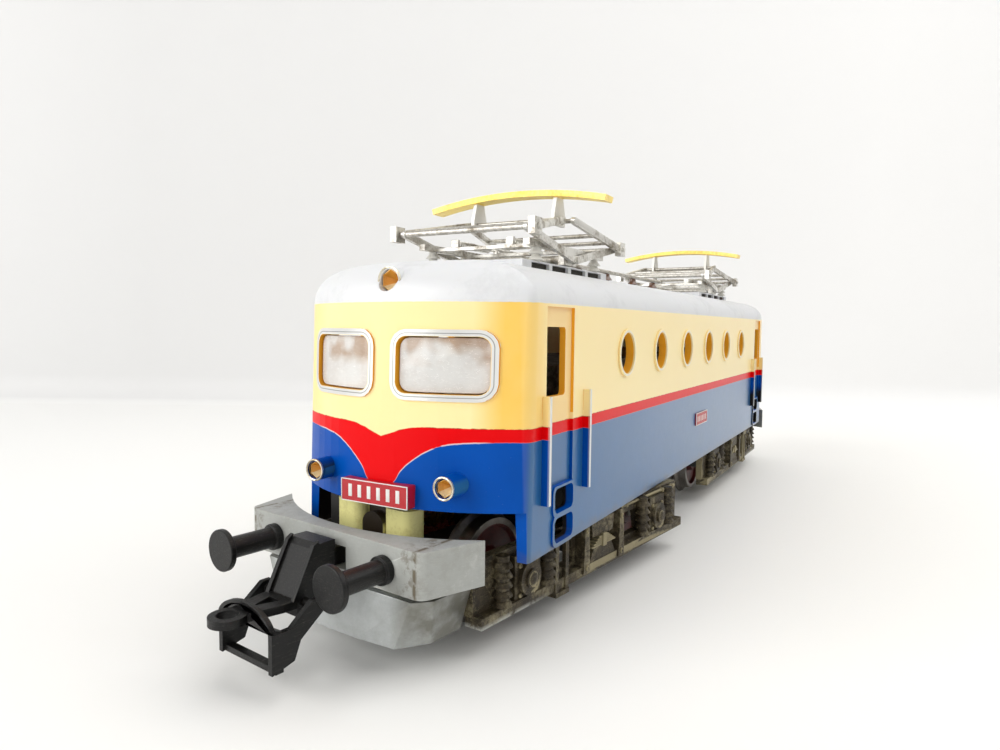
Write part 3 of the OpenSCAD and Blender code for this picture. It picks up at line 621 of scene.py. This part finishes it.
    # painted light: the amber plastic inside the shell above the waist, and in the side window reveals, glows as
    # if lit through
    painted_glow = g.plus(g.times(inside, g.step(z, WAIST_Z)), g.times(window_side, 0.6), clamp=True)
    metal = g.plus(g.times(silver, 0.35), g.times(g.minus(in_roof, louvre, clamp=True), 0.2), clamp=True)
    lacquer = g.times(side_facing, g.step(upright, half - 0.3, 0.1), g.inverse(in_roof))
    skin = g.plus(g.times(g.noise(place, 1.9, 2.0), 0.7), g.times(dust, 0.8))
    g.fill(
        shader,
        Base_Color=base,
        Emission_Color=g.mix(painted_glow, (0, 0, 0), dimmed(c.amber, 0.16)),
        Emission_Strength=1.0,
        Roughness=g.plus(g.blend(in_roof, 0.26, 0.46), g.times(g.noise(place, 0.7, 5.0), 0.14)),
        Metallic=metal,
        Coat_Weight=g.times(lacquer, g.minus(g.blend(in_blue, 0.6, 1.0), g.times(in_red, 0.4))),
        Coat_Roughness=0.3,
        Normal=g.bump(skin, 0.25, 0.00006),
        Subsurface_Weight=0.06,
        Subsurface_Radius=(1.0, 0.6, 0.2),
        Subsurface_Scale=0.0012,
    )
    return material


def from_bogie(g, place, end):
    """Distances in millimetres along the bogie, from its pivot, and to either side of its centreline."""
    away = g.vector("SUBTRACT", place, BOGIE[end].translation / MM)
    along, across = (
        g.vector("DOT_PRODUCT", away, BOGIE[end].col[column].xyz / MM, output="Value") for column in range(2)
    )
    return along, g.absolute(across)


def soiled(material, end, dirt):
    """Lays one more layer of colour over a finish, of dirt, paint or painted shade; dirt gives its mask and its
    colour.
    """
    g = Graph(material.node_tree)
    shader = next(n for n in g.tree.nodes if n.type == "BSDF_PRINCIPLED")
    base = shader.inputs["Base Color"]
    place = g.place()
    g.put(base, g.layers(base.links[0].from_socket, dirt(g, place, *from_bogie(g, place, end))))
    return material


def corner_dirt(g, place, _, side):
    """Brown dirt that gathers where the beam turns its corner."""
    seam = g.below(g.gap(side, BEAM_CORNER_Y), 0.25, 0.15)
    seam = g.times(seam, g.step(g.noise(place, 1.1, 4.0), 0.44, 0.08))
    halo = g.below(g.gap(side, BEAM_CORNER_Y - 1.0), 1.4, 1.0)
    halo = g.times(halo, g.step(g.noise(place, 0.8, 6.0, 0.7), 0.54, 0.06), 0.6)
    return g.times(g.larger(seam, halo), 0.85), srgb(84, 70, 42)


def flank_shade_and_dirt(g, place, _, side):
    """Dull grey on the flanks of the cowl, partly dirt and partly painted shade."""
    # painted shade with dirt: the flanks are darkened in noisy patches
    flank = g.times(g.step(side, 11.2, 1.4), g.step(g.noise(place, 0.25, 4.0), 0.4, 0.2))
    return g.times(flank, 0.75), srgb(92, 88, 72)


def silvered_end(g, place, along, _):
    """Silver paint, chipped, on the lower bar of the side frame beside the cowl."""
    bar = g.times(g.step(along, 17.0, 3.0), g.below(g.split(place)[2], 4.2, 0.4))
    return g.times(bar, g.step(g.noise(place, 0.5, 5.0, 0.65), 0.42, 0.06), 0.9), srgb(206, 208, 202)


def worn_finish(
    name, base, rubbed, dirt, roughness=0.5, metallic=0.0, rubbed_metallic=0.0, scale=0.5,
    edge=0.56, patches=0.35, level=0.54, bump=0.3, chips=0.0, specular=0.5,
):
    """A surface with cloudy dirt, pale chips, rubbed edges and dirty hollows."""
    material, g, shader, place = finish(name, specular=specular)
    clouds, fine = grime(g, place, scale, level)
    edges, hollows = wear(g, place, scale * 5, edge)
    flakes = grime(g, place, scale * 0.8, 0.6)[0]
    lines = scratches(g, place, 1.7, 0.4)
    g.fill(
        shader,
        Base_Color=g.layers(
            base,
            (g.times(clouds, patches), dirt),
            (g.times(hollows, 0.7), dirt),
            (g.times(edges, 0.75), rubbed),
            (g.times(flakes, chips), rubbed),
            (lines, rubbed),
        ),
        Metallic=g.blend(edges, metallic, rubbed_metallic),
        Roughness=g.plus(roughness - 0.1, g.times(fine, 0.3), clamp=True),
        Normal=g.bump(g.plus(fine, lines), bump, 0.00008),
    )
    return material


def wheel_finish(c, end, which):
    """Dark red centre and a steel tread darkened as painted shade, told apart by the distance from the axle."""
    material, g, shader, place = finish(f"{end} {which} wheels")
    spin = joint(f"{end}_wheelset_{which}_spin")
    away = g.vector("SUBTRACT", place, Vector(spin["pos_m"]) / MM)
    across = g.vector("CROSS_PRODUCT", away, Vector(spin["axis"]))
    radius = g.vector("LENGTH", across, output="Value")
    metal = g.plus(g.step(radius, 5.75, 0.05), g.below(radius, 1.05, 0.05), clamp=True)
    patches, fine = grime(g, place, 0.4, 0.55)
    red = g.mix(patches, c.wheel, dimmed(c.wheel, 0.35))
    # painted shade: the steel of tread and hub is made dark, as the tread stands in shadow
    steel = g.mix(g.times(patches, 0.5), (0.3, 0.28, 0.26), (0.1, 0.08, 0.06))
    g.fill(
        shader,
        Base_Color=g.mix(metal, red, steel),
        Metallic=metal,
        Roughness=g.blend(metal, 0.42, g.plus(0.2, g.times(fine, 0.3))),
        Normal=g.bump(fine, 0.25, 0.00005),
    )
    return material


def glass_finish():
    """Clear moulded plastic, faintly hazy and scuffed."""
    material, g, shader, place = finish("clear plastic", specular=0.6)
    patches, fine = grime(g, place, 0.25, 0.5)
    lines = scratches(g, place, 1.2, 0.25)
    smudge = g.step(g.split(place)[2], 35.2, 0.7)
    smudge = g.times(smudge, g.step(g.noise(place, 0.2, 2.0), 0.51, 0.06), 0.85)
    tone = g.mix(patches, (0.98, 0.98, 0.96), (0.9, 0.88, 0.85))
    g.fill(
        shader,
        Base_Color=g.mix(smudge, tone, (0.6, 0.44, 0.32)),
        Transmission_Weight=0.4,
        IOR=1.49,
        Roughness=g.plus(g.times(fine, 0.22), lines, clamp=True),
        Normal=g.bump(g.plus(g.noise(place, 0.35, 1.0), lines), 0.3, 0.0002),
    )
    return material


def metal_finish(name, bright, tarnish, roughness=0.28, scale=0.35, level=0.5):
    """Metal with uneven tarnish."""
    material, g, shader, place = finish(name, metallic=1.0)
    patches, fine = grime(g, place, scale, level)
    dull = g.times(g.larger(patches, wear(g, place, scale * 6, hollow=0.47)[1]), 0.8)
    rough = g.blend(dull, roughness, roughness + 0.3)
    g.fill(
        shader,
        Base_Color=g.mix(dull, bright, tarnish),
        Roughness=g.plus(rough, g.times(fine, 0.1), clamp=True),
        Normal=g.bump(fine, 0.2, 0.00005),
    )
    return material


def foil_finish():
    """Faceted gold foil with painted light: pale where it faces the sky and amber below."""
    material, g, shader, place = finish("faceted gold foil", metallic=0.35)
    patches, fine = grime(g, place, 0.9, 0.55)
    # painted light: facets turned up get a pale painted highlight, facets turned down an amber painted shade
    tone = g.mix(g.step(g.facing()[2], 0.15, 0.2), srgb(206, 146, 48), srgb(255, 247, 208))
    tone = g.mix(g.times(patches, 0.4), tone, srgb(150, 90, 24))
    g.fill(shader, Base_Color=tone, Roughness=g.blend(fine, 0.1, 0.35))
    return material


def plastic_finish(name, base, roughness=0.4, coat=0.0, variation=0.25):
    """Plain moulded plastic with a fine grain, some unevenness and a little dust."""
    material, g, shader, place = finish(name, coat=coat)
    patches, fine = grime(g, place, 0.3, 0.55)
    specks = speckle(g, place, 2.6, 0.06, 0.57)
    tone = g.mix(g.times(patches, variation), base, dimmed(base, 0.5))
    g.fill(
        shader,
        Base_Color=g.mix(g.times(specks, 0.35), tone, (0.6, 0.58, 0.52)),
        Roughness=g.plus(roughness - 0.07, g.times(fine, 0.18)),
        Normal=g.bump(fine, 0.25, 0.00006),
    )
    return material


def banded_finish(name, base, stripe, axis, pitch, metallic=0.0, roughness=0.4):
    """Fine bands along one axis, as on stacked laminations, wound wire or brushed strip."""
    material, g, shader, place = finish(name, metallic=metallic)
    wave = g.gap(g.math("FRACT", g.math("DIVIDE", g.split(place)[axis], pitch)), 0.5)
    mask = g.step(g.plus(wave, g.times(g.noise(place, 2.0), 0.1)), 0.38, 0.06)
    g.fill(
        shader,
        Base_Color=g.mix(mask, base, stripe),
        Roughness=g.blend(g.noise(place, 0.8, 4.0), roughness - 0.1, roughness + 0.15),
        Normal=g.bump(g.inverse(mask), 0.5, 0.00008),
    )
    return material


def collector_finish(end, c):
    """Gilded strip, worn white along its rubbing edge, on nickel cheeks."""
    material, g, shader, place = finish(f"{end} gilded collector", metallic=0.3)
    y, z = g.split(place)[1:]
    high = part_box(f"{end}_pan_collector")[1]
    droop = g.times(g.math("POWER", g.math("DIVIDE", g.absolute(y), high.y / MM), 2.0), 1.6)
    strip = g.step(g.plus(z, droop), high.z / MM - 1.0, 0.05)
    patches, fine = grime(g, place, 0.3, 0.56)
    edges = wear(g, place, 2.0, 0.54)[0]
    gold = g.mix(g.times(patches, 0.7), c.gold, srgb(214, 166, 52))
    gold = g.mix(g.times(edges, 0.2), gold, (0.95, 0.9, 0.7))
    g.fill(
        shader,
        Base_Color=g.mix(strip, c.nickel, gold),
        Roughness=g.plus(0.32, g.times(fine, 0.25)),
        Normal=g.bump(fine, 0.25, 0.00005),
    )
    return material


def bearing_finish():
    """Cream plastic, with painted shade in the hollow where the shaft runs."""
    material, g, shader, place = finish("cream bearing")
    # painted shade: the hollow round the shaft is painted near black
    dark = g.below(from_bogie(g, place, "front")[1], 1.95, 0.15)
    patches, fine = grime(g, place, 0.4, 0.56)
    tone = g.mix(g.times(patches, 0.35), srgb(242, 236, 160), srgb(170, 150, 76))
    g.fill(
        shader,
        Base_Color=g.mix(dark, tone, srgb(34, 24, 12)),
        Roughness=g.blend(fine, 0.28, 0.5),
        Normal=g.bump(fine, 0.2, 0.00006),
    )
    return material


FINISHES = {}


def shared(build):
    """A finish that several pieces wear, made on first use."""
    if build not in FINISHES:
        FINISHES[build] = build(bpy.context.scene.loco_colours)
    return FINISHES[build]


def black_finish(c):
    """Black plastic, rubbed bright on its edges."""
    return worn_finish(
        "worn black", c.black, srgb(96, 92, 84), srgb(22, 19, 15), roughness=0.36,
        rubbed_metallic=0.8, scale=0.6, edge=0.66, patches=0.15, level=0.6, specular=0.34,
    )


def nickel_finish(c):
    """The metal of the pantographs and the busbar."""
    tarnish = srgb(112, 98, 74)
    return metal_finish("tarnished nickel", c.nickel, tarnish, roughness=0.3, scale=0.28, level=0.55)


def steel_finish(_):
    """The metal of axles, pins and screws."""
    return metal_finish("bright steel", srgb(190, 188, 184), srgb(120, 112, 100), roughness=0.25)


# ---------------------------------------------------------------- operators


class LOCO_OT_shell(bpy.types.Operator):
    """Rounds the shell's edges and paints it in bands"""

    bl_idname = "loco.shell"
    bl_label = "Body Shell"

    def execute(self, context):
        edge = context.scene.loco_sizes.edge
        refine("body_shell", shell_finish(context.scene.loco_colours), edge, smooth=28)
        glass = glass_finish()
        for end in ENDS:
            refine(f"{end}_glazing", glass, edge * 0.7)
        return {"FINISHED"}


class LOCO_OT_lamps(bpy.types.Operator):
    """Adds faceted reflectors and gold rims to the six headlights"""

    bl_idname = "loco.lamps"
    bl_label = "Headlights"

    def execute(self, context):
        sizes = context.scene.loco_sizes
        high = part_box("headlight_reflectors")[1]
        face = high.x / MM + 0.25
        foil = foil_finish()
        bright = metal_finish("gold rim", srgb(240, 234, 214), srgb(150, 134, 100), roughness=0.22)
        lamps = [
            (face, side * sizes.lamp_y / MM, sizes.lamp_z / MM, sizes.lamp_radius / MM, 2.4)
            for side in (-1, 1)
        ]
        lamps.append((ROOF_LAMP_X, 0.0, high.z / MM - 1.35, sizes.roof_lamp_radius / MM, 2.6))
        cones, rims = bmesh.new(), bmesh.new()
        for turn in BOTH_WAYS:
            for x, y, z, radius, depth in lamps:
                at = turn @ Matrix.Translation((x, y, z)) @ TO_X
                self.dish(cones, radius - 0.28, depth, at)
                rim = (
                    (-0.27, -0.32), (-0.2, 0.06), (-0.1, 0.13), (0.02, 0.08),
                    (0.04, -0.1), (-0.05, -0.32), (-0.27, -0.32),
                )
                add_turned(rims, [(radius + out, up) for out, up in rim], at, steps=32)
        make(
            cones, "faceted_reflectors", "body", foil,
            place=BODY, replaces=("headlight_reflectors",), smooth=8,
        )
        make(rims, "headlight_rims", "body", bright, place=BODY)
        return {"FINISHED"}

    def dish(self, bm, radius, depth, at):
        """A six-sided reflector, closed behind"""
        profile = (
            (radius, -0.3), (radius * 0.93, -0.3), (radius * 0.62, -depth * 0.42), (0.05, -depth * 0.8),
            (0.0, -depth * 0.82), (0.0, -depth - 0.15), (radius, -depth - 0.15), (radius, -0.3),
        )
        add_turned(bm, profile, at, steps=6)


class LOCO_OT_plates(bpy.types.Operator):
    """Rounds the number plates and gives them a light border and plain bars"""

    bl_idname = "loco.plates"
    bl_label = "Number Plates"

    def execute(self, context):
        sizes, c = context.scene.loco_sizes, context.scene.loco_colours
        red = plastic_finish("plate red", srgb(176, 4, 22), roughness=0.34, coat=0.1, variation=0.15)
        refine("number_plates", red, sizes.edge)
        low, high = (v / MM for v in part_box("number_plates"))
        marks = bmesh.new()
        for turn in BOTH_WAYS:
            part = bmesh.new()
            self.end_marks(part, high.x, low.z, sizes.plate_border / MM)
            move(part, turn)
            join(marks, part)
            part = bmesh.new()
            self.side_marks(part, high.y)
            if turn != Matrix():
                move(part, Matrix.Diagonal((1, -1, 1, 1)))
            join(marks, part)
        white = plastic_finish("plate white", c.white, roughness=0.4, variation=0.2)
        make(marks, "plate_marks", "body", white, place=BODY)
        return {"FINISHED"}

    def end_marks(self, part, face, low, border):
        """Border and six bars on the plate at one end"""
        back, front, half, high = face - 0.1, face + 0.06, 4.95, low + 2.7
        add_block(part, (back, -half, low), (front, half, low + border), 0.03)
        add_block(part, (back, -half, high - border), (front, half, high), 0.03)
        add_block(part, (back, -half, low + border), (front, border - half, high - border), 0.03)
        add_block(part, (back, half - border, low + border), (front, half, high - border), 0.03)
        for i in range(6):
            y = -3.55 + i * 1.42
            add_block(part, (back, y - 0.27, low + 0.6), (face + 0.04, y + 0.27, low + 2.1), 0.03)

    def side_marks(self, part, face):
        """Border and six bars on the plate at one side"""
        for x0, x1, z0, z1 in (
            (-0.8, 8.0, 19.7, 19.82), (-0.8, 8.0, 22.08, 22.2),
            (-0.8, -0.68, 19.82, 22.08), (7.88, 8.0, 19.82, 22.08),
        ):
            add_block(part, (x0, face - 0.1, z0), (x1, face + 0.04, z1), 0.02)
        for i in range(6):
            add_block(part, (0.2 + i * 1.22, face - 0.1, 20.4), (0.6 + i * 1.22, face + 0.03, 21.5), 0.02)


class LOCO_OT_roof(bpy.types.Operator):
    """Finishes the roof line and both pantographs"""

    bl_idname = "loco.roof"
    bl_label = "Roof and Pantographs"

    def execute(self, context):
        sizes = context.scene.loco_sizes
        edge = sizes.edge
        nickel = shared(nickel_finish)
        glaze = plastic_finish("glazed insulator", srgb(92, 58, 38), roughness=0.2, coat=0.7)
        pale = plastic_finish("pale insulator", srgb(214, 212, 204), roughness=0.35, coat=0.3)
        refine("roof_insulators", glaze, edge * 0.6)
        refine("roof_busbar", nickel, 0)
        for end in ENDS:
            refine(f"{end}_pan_base", nickel, edge)
            refine(f"{end}_pan_insulators", pale, edge * 0.6)
            for arm in ("lower_arm_outer", "lower_arm_inner", "upper_arm_outer", "upper_arm_inner"):
                refine(f"{end}_pan_{arm}", nickel, edge * 0.8)
            refine(f"{end}_pan_collector", collector_finish(end, context.scene.loco_colours), edge)
            self.springs(end, sizes.spring_wire / MM, nickel)
        return {"FINISHED"}

    def springs(self, end, wire, nickel):
        """Wound springs on hooks, in place of the plain barrels"""
        low, high = (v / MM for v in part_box(f"{end}_pan_springs"))
        mid = (low + high) / 2
        reach = (high.x - low.x) / 2 - 0.7
        y0 = (high.y - low.y) / 2 - 0.75
        coiled = reach - 1.5
        bm = bmesh.new()
        for y in (-y0, y0):
            for way in (-1, 1):
                end_turn = Matrix.Rotation(0 if way > 0 else math.pi, 4, "Z")
                self.coil(bm, wire, coiled, Matrix.Translation((mid.x + way * 0.9, y, mid.z)) @ end_turn)
                post = mid.x + way * (reach + 0.35)
                x0, x1 = sorted((mid.x + way * (0.9 + coiled), post))
                add_rod(bm, wire, 0.0, x1 - x0, Matrix.Translation((x0, y, mid.z)) @ TO_X, 8)
                add_block(bm, (post - 0.3, y - 0.65, low.z), (post + 0.3, y + 0.65, high.z), 0.12)
            add_rod(bm, wire, -1.0, 1.0, Matrix.Translation((mid.x, y, mid.z)) @ TO_X, 8)
        make(
            bm, f"{end}_coil_springs", "body", nickel,
            place=BODY, replaces=(f"{end}_pan_springs",),
        )

    def coil(self, bm, wire, span, matrix):
        """A close coil of wire along +X before matrix"""
        part = bmesh.new()
        turns, coil_radius = 17, 0.42
        steps = turns * 12
        at = Matrix.Translation((0, coil_radius, 0)) @ TO_X
        bmesh.ops.create_circle(part, radius=wire, segments=7, matrix=at)
        bmesh.ops.spin(
            part, geom=list(part.verts) + list(part.edges), cent=(0, 0, 0), axis=(1, 0, 0),
            dvec=(span / steps, 0, 0), angle=math.tau * turns, steps=steps,
        )
        bmesh.ops.holes_fill(part, edges=part.edges)
        bmesh.ops.recalc_face_normals(part, faces=part.faces)
        move(part, matrix)
        join(bm, part)


class LOCO_OT_bogies(bpy.types.Operator):
    """Finishes both bogies and adds leaf springs, bolts and a pipe"""

    bl_idname = "loco.bogies"
    bl_label = "Bogies"

    def execute(self, context):
        dark = plastic_finish("dark frame", srgb(34, 33, 31), roughness=0.5)
        for end in ENDS:
            refine(f"{end}_bogie_frame", dark, context.scene.loco_sizes.edge)
            self.finish_bogie(end, context.scene.loco_sizes, context.scene.loco_colours)
        return {"FINISHED"}

    def finish_bogie(self, end, sizes, c):
        """Each bogie has its own finishes, because its dirt, paint and painted shade are measured from its pivot
        """
        grimy = worn_finish(
            f"{end} grimy bogie side", c.grime, srgb(166, 156, 124), srgb(34, 27, 16), metallic=0.25,
            rubbed_metallic=0.6, scale=0.35, edge=0.585, patches=0.85, level=0.48, bump=0.5, chips=0.6,
        )
        grey = worn_finish(
            f"{end} light grey beam", c.beam, srgb(206, 208, 204), srgb(104, 94, 70), roughness=0.42,
            scale=0.16, edge=0.6, patches=0.22, level=0.56, chips=0.2, specular=0.35,
        )
        silver = worn_finish(
            f"{end} silver cowl", c.cowl, srgb(222, 224, 222), srgb(84, 82, 70), roughness=0.3,
            metallic=0.45, rubbed_metallic=0.7, scale=0.12, edge=0.57, patches=0.22, bump=0.12,
        )
        refine(f"{end}_side_frames", soiled(grimy, end, silvered_end), sizes.edge)
        refine(f"{end}_cowl", soiled(silver, end, flank_shade_and_dirt), sizes.edge * 2.2)
        refine(f"{end}_buffer_beam", soiled(grey, end, corner_dirt), sizes.edge * 1.3)
        refine(f"{end}_buffers", shared(black_finish), sizes.edge * 1.4)
        refine(f"{end}_king_pin", shared(steel_finish), 0)
        fittings = bmesh.new()
        for side in (1, -1):
            part = bmesh.new()
            self.axleboxes(part, joint(f"{end}_wheelset_outer_spin")["pos_m"][2] / MM, sizes.bolt / MM)
            self.spring_and_pipe(part)
            move(part, Matrix.Diagonal((1, side, 1, 1)))
            join(fittings, part)
        make(fittings, f"{end}_bogie_fittings", f"{end}_bogie", grimy, place=BOGIE[end])

    def axleboxes(self, part, axle_z, bolt):
        """Four bolts and a cap on each axlebox of one side frame"""
        head = [(0.0, 0.0), (bolt, 0.0), (bolt, 0.22), (bolt * 0.7, 0.32), (0.0, 0.32)]
        cap = [(0.0, 0.0), (0.95, 0.0), (0.95, 0.12), (0.6, 0.24), (0.0, 0.28)]
        for x in (-AXLE_X, AXLE_X):
            for dx in (-1.75, 1.75):
                for dz in (-1.9, 1.9):
                    at = Matrix.Translation((x + dx, SIDE_FRAME_Y + 2.25, axle_z + dz)) @ TO_Y
                    add_turned(part, head, at, steps=6)
            add_turned(part, cap, Matrix.Translation((x, SIDE_FRAME_Y + 3.12, axle_z)) @ TO_Y, steps=24)

    def spring_and_pipe(self, part):
        """The leaf spring with its buckle, the link bolts and the pipe of one side frame"""
        y = SIDE_FRAME_Y
        for i in range(5):
            reach, low = 3.5 - i * 0.52, 7.45 + i * 0.29
            add_block(part, (-reach, y + 1.5, low), (reach, y + 2.75, low + 0.22), 0.05, 1)
        add_block(part, (-0.55, y + 1.4, 7.2), (0.55, y + 2.95, 9.15), 0.1, 1)
        nut = [(0.0, 0.0), (0.42, 0.0), (0.42, 0.18), (0.2, 0.28), (0.0, 0.28)]
        for x in (-5.2, 5.2):
            for z in (5.2, 10.6):
                add_turned(part, nut, Matrix.Translation((x, y + 2.85, z)) @ TO_Y, steps=6)
        add_rod(part, 0.27, 0.0, 21.5, Matrix.Translation((-27.5, y + 1.55, 11.35)) @ TO_X, 12)
        for x in (-26.5, -22.4, -15.8, -9.0):
            add_block(part, (x - 0.3, y + 1.0, 11.0), (x + 0.3, y + 1.95, 11.7), 0.08, 1)


class LOCO_OT_couplings(bpy.types.Operator):
    """Finishes the drawbars and their bails"""

    bl_idname = "loco.couplings"
    bl_label = "Couplings"

    def execute(self, context):
        edge = context.scene.loco_sizes.edge
        for end in ENDS:
            refine(f"{end}_drawbar", shared(black_finish), edge)
            self.bail(end, edge * 1.6)
        return {"FINISHED"}

    def bail(self, end, rounding):
        """The bail with its hoop drawn down to a low arch of fine wire"""
        node = f"{end}_coupler_bail"
        bm = merged(node)
        inverse = BOGIE[end].inverted()
        spring_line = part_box(node)[0].z / MM + BAIL_RISE
        for vert in bm.verts:
            point = inverse @ vert.co
            if point.z > spring_line and point.x > BAIL_ROOT_X:
                point.z = spring_line + (point.z - spring_line) * 0.55
                point.x = BAIL_MIDDLE_X + (point.x - BAIL_MIDDLE_X) * 0.6
                vert.co = BOGIE[end] @ point
        make(
            bm, f"{node}.finished", f"{end}_bail", shared(black_finish),
            replaces=(node,), rounding=rounding,
        )


class LOCO_OT_wheels(bpy.types.Operator):
    """Finishes the wheels and axles"""

    bl_idname = "loco.wheels"
    bl_label = "Wheelsets"

    def execute(self, context):
        edge, c = context.scene.loco_sizes.edge, context.scene.loco_colours
        for end in ENDS:
            for which in ("outer", "inner"):
                refine(f"{end}_wheels_{which}", wheel_finish(c, end, which), edge * 0.6)
                refine(f"{end}_axle_{which}", shared(steel_finish), 0)
        return {"FINISHED"}


class LOCO_OT_inside(bpy.types.Operator):
    """Finishes the drive and everything inside the shell"""

    bl_idname = "loco.inside"
    bl_label = "Inside"

    def execute(self, context):
        edge = context.scene.loco_sizes.edge
        iron = banded_finish("motor iron", (0.05, 0.05, 0.055), (0.02, 0.02, 0.02), 2, 0.5, metallic=0.5)
        copper = banded_finish(
            "armature", (0.42, 0.2, 0.09), (0.2, 0.19, 0.18), 1, 0.35, metallic=0.8, roughness=0.35
        )
        brass = metal_finish("gear brass", srgb(214, 174, 96), srgb(132, 98, 44), roughness=0.25)
        cast = metal_finish("cast weight", srgb(150, 150, 152), srgb(92, 92, 94), roughness=0.5, scale=0.6)
        brown = plastic_finish("gear plastic", srgb(120, 48, 32), roughness=0.35)
        refine("shaft_bearings", bearing_finish(), edge)
        refine("motor_stator", iron, edge)
        refine("underframe", plastic_finish("underframe black", srgb(30, 30, 30), roughness=0.45), edge)
        refine("shell_screws", shared(steel_finish), 0)
        paint_node("motor_armature", copper)
        paint_node("worm_gears", brass)
        paint_node("motor_brushes", plastic_finish("brush carbon", (0.02, 0.02, 0.02), roughness=0.6))
        paint_node("worm_wheel_outer", brown)
        paint_node("worm_wheel_inner", brown)
        paint_node("ballast_weight", cast)
        board = banded_finish("board and windings", srgb(146, 98, 44), srgb(96, 54, 24), 0, 0.45)
        paint_node("circuit_board", board)
        paint_node("lamp_bulbs", plastic_finish("bulb", srgb(232, 228, 206), roughness=0.15, coat=0.8))
        return {"FINISHED"}


class LOCO_OT_stage(bpy.types.Operator):
    """Sets up the floor, the soft lights and the camera"""

    bl_idname = "loco.stage"
    bl_label = "Stage"

    def execute(self, context):
        eye = Vector(EYE)
        level = Vector((math.cos(YAW), math.sin(YAW), 0))
        ahead = level * math.cos(PITCH) + Vector((0, 0, math.sin(PITCH)))
        right = ahead.cross(Vector((0, 0, 1))).normalized()
        turn = Matrix((right, right.cross(ahead), -ahead)).transposed().to_4x4()
        lens = bpy.data.cameras.new("camera")
        lens.lens = LENS
        lens.sensor_width = 36
        lens.clip_start, lens.clip_end = 0.005, 20
        camera = bpy.data.objects.new("camera", lens)
        context.scene.collection.objects.link(camera)
        camera.matrix_world = Matrix.Translation(eye) @ turn @ Matrix.Rotation(ROLL, 4, "Z")
        context.scene.camera = camera
        self.table(context, eye, level)
        self.lights(context)
        context.scene.view_settings.view_transform = "Standard"
        return {"FINISHED"}

    def table(self, context, eye, level):
        """A pale table with a wall that rises from a soft fold behind it"""
        wall_away, fold, wall_height, reach, half_width = 0.335, 0.014, 1.2, 1.6, 1.5
        across = Vector((-level.y, level.x, 0))
        back = Vector((eye.x, eye.y, 0)) + level * wall_away
        line = [back - level * reach, back]
        for i in range(1, 7):
            angle = math.radians(15 * i)
            line.append(back + level * fold * math.sin(angle) + Vector((0, 0, fold * (1 - math.cos(angle)))))
        line.append(line[-1] + Vector((0, 0, wall_height)))
        bm = bmesh.new()
        verts = [bm.verts.new(p - across * half_width) for p in line]
        edges = [bm.edges.new(pair) for pair in zip(verts, verts[1:])]
        new = bmesh.ops.extrude_edge_only(bm, edges=edges)["geom"]
        new_verts = [v for v in new if isinstance(v, bmesh.types.BMVert)]
        bmesh.ops.translate(bm, verts=new_verts, vec=across * half_width * 2)
        bmesh.ops.recalc_face_normals(bm, faces=bm.faces)
        shape = bpy.data.meshes.new("table")
        bm.to_mesh(shape)
        bm.free()
        shape.shade_smooth()
        shape.materials.append(self.table_finish(across))
        table = bpy.data.objects.new("table", shape)
        context.scene.collection.objects.link(table)

    def table_finish(self, across):
        """Pale and matt, with painted shade to the left, and darker on the wall"""
        material, g, shader, place = finish("pale table", roughness=0.55, specular=0.3)
        x, y, height = g.split(place)
        # painted shade: table and wall turn darker towards the left
        painted_left_shade = g.step(g.plus(g.times(x, across.x), g.times(y, across.y)), 20.0, 180.0)
        table = g.mix(painted_left_shade, (0.92, 0.915, 0.89), (0.8, 0.8, 0.79))
        wall = g.mix(painted_left_shade, (0.86, 0.86, 0.86), (0.66, 0.66, 0.66))
        g.fill(
            shader,
            Base_Color=g.mix(g.step(height, 1.5, 1.5), table, wall),
            Normal=g.bump(g.noise(place, 0.6, 4.0), 0.05, 0.0002),
        )
        return material

    def lights(self, context):
        """Soft light from above and from both sides"""
        world = bpy.data.worlds.new("dim room")
        world.use_nodes = True
        back = world.node_tree.nodes["Background"]
        back.inputs["Color"].default_value = (0.97, 0.98, 1.0, 1)
        back.inputs["Strength"].default_value = 0.16
        context.scene.world = world
        for name, place, aim, size, power in (
            ("window light", (-0.7, 0.42, 0.36), (0.0, 0.0, 0.02), 0.7, 6.3),
            ("front fill", (-0.6, -0.35, 0.25), (-0.05, 0.0, 0.03), 0.5, 1.0),
            ("top light", (0.25, -0.32, 0.75), (0.0, 0.0, 0.02), 1.1, 9.0),
        ):
            lamp = bpy.data.lights.new(name, "AREA")
            lamp.shape = "SQUARE"
            lamp.size = size
            lamp.energy = power
            lamp.color = (1.0, 0.99, 0.97)
            holder = bpy.data.objects.new(name, lamp)
            context.scene.collection.objects.link(holder)
            holder.location = place
            holder.rotation_euler = (Vector(aim) - Vector(place)).to_track_quat("-Z", "Y").to_euler()


STEPS = (
    LOCO_OT_shell, LOCO_OT_lamps, LOCO_OT_plates, LOCO_OT_roof, LOCO_OT_bogies,
    LOCO_OT_couplings, LOCO_OT_wheels, LOCO_OT_inside, LOCO_OT_stage,
)


class LOCO_PT_panel(bpy.types.Panel):
    """Lists the steps that finish the locomotive"""

    bl_label = "Locomotive"
    bl_idname = "LOCO_PT_panel"
    bl_space_type = "VIEW_3D"
    bl_region_type = "UI"
    bl_category = "Locomotive"

    def draw(self, context):
        for step in STEPS:
            self.layout.operator(step.bl_idname)


CLASSES = (LocoSizes, LocoColours, *STEPS, LOCO_PT_panel)


def register():
    for cls in CLASSES:
        bpy.utils.register_class(cls)
    bpy.types.Scene.loco_sizes = bpy.props.PointerProperty(type=LocoSizes)
    bpy.types.Scene.loco_colours = bpy.props.PointerProperty(type=LocoColours)


def unregister():
    del bpy.types.Scene.loco_sizes
    del bpy.types.Scene.loco_colours
    for cls in reversed(CLASSES):
        bpy.utils.unregister_class(cls)


def main():
    register()
    for step in STEPS:
        getattr(bpy.ops.loco, step.bl_idname.split(".")[1])()


if __name__ == "__main__":
    main()
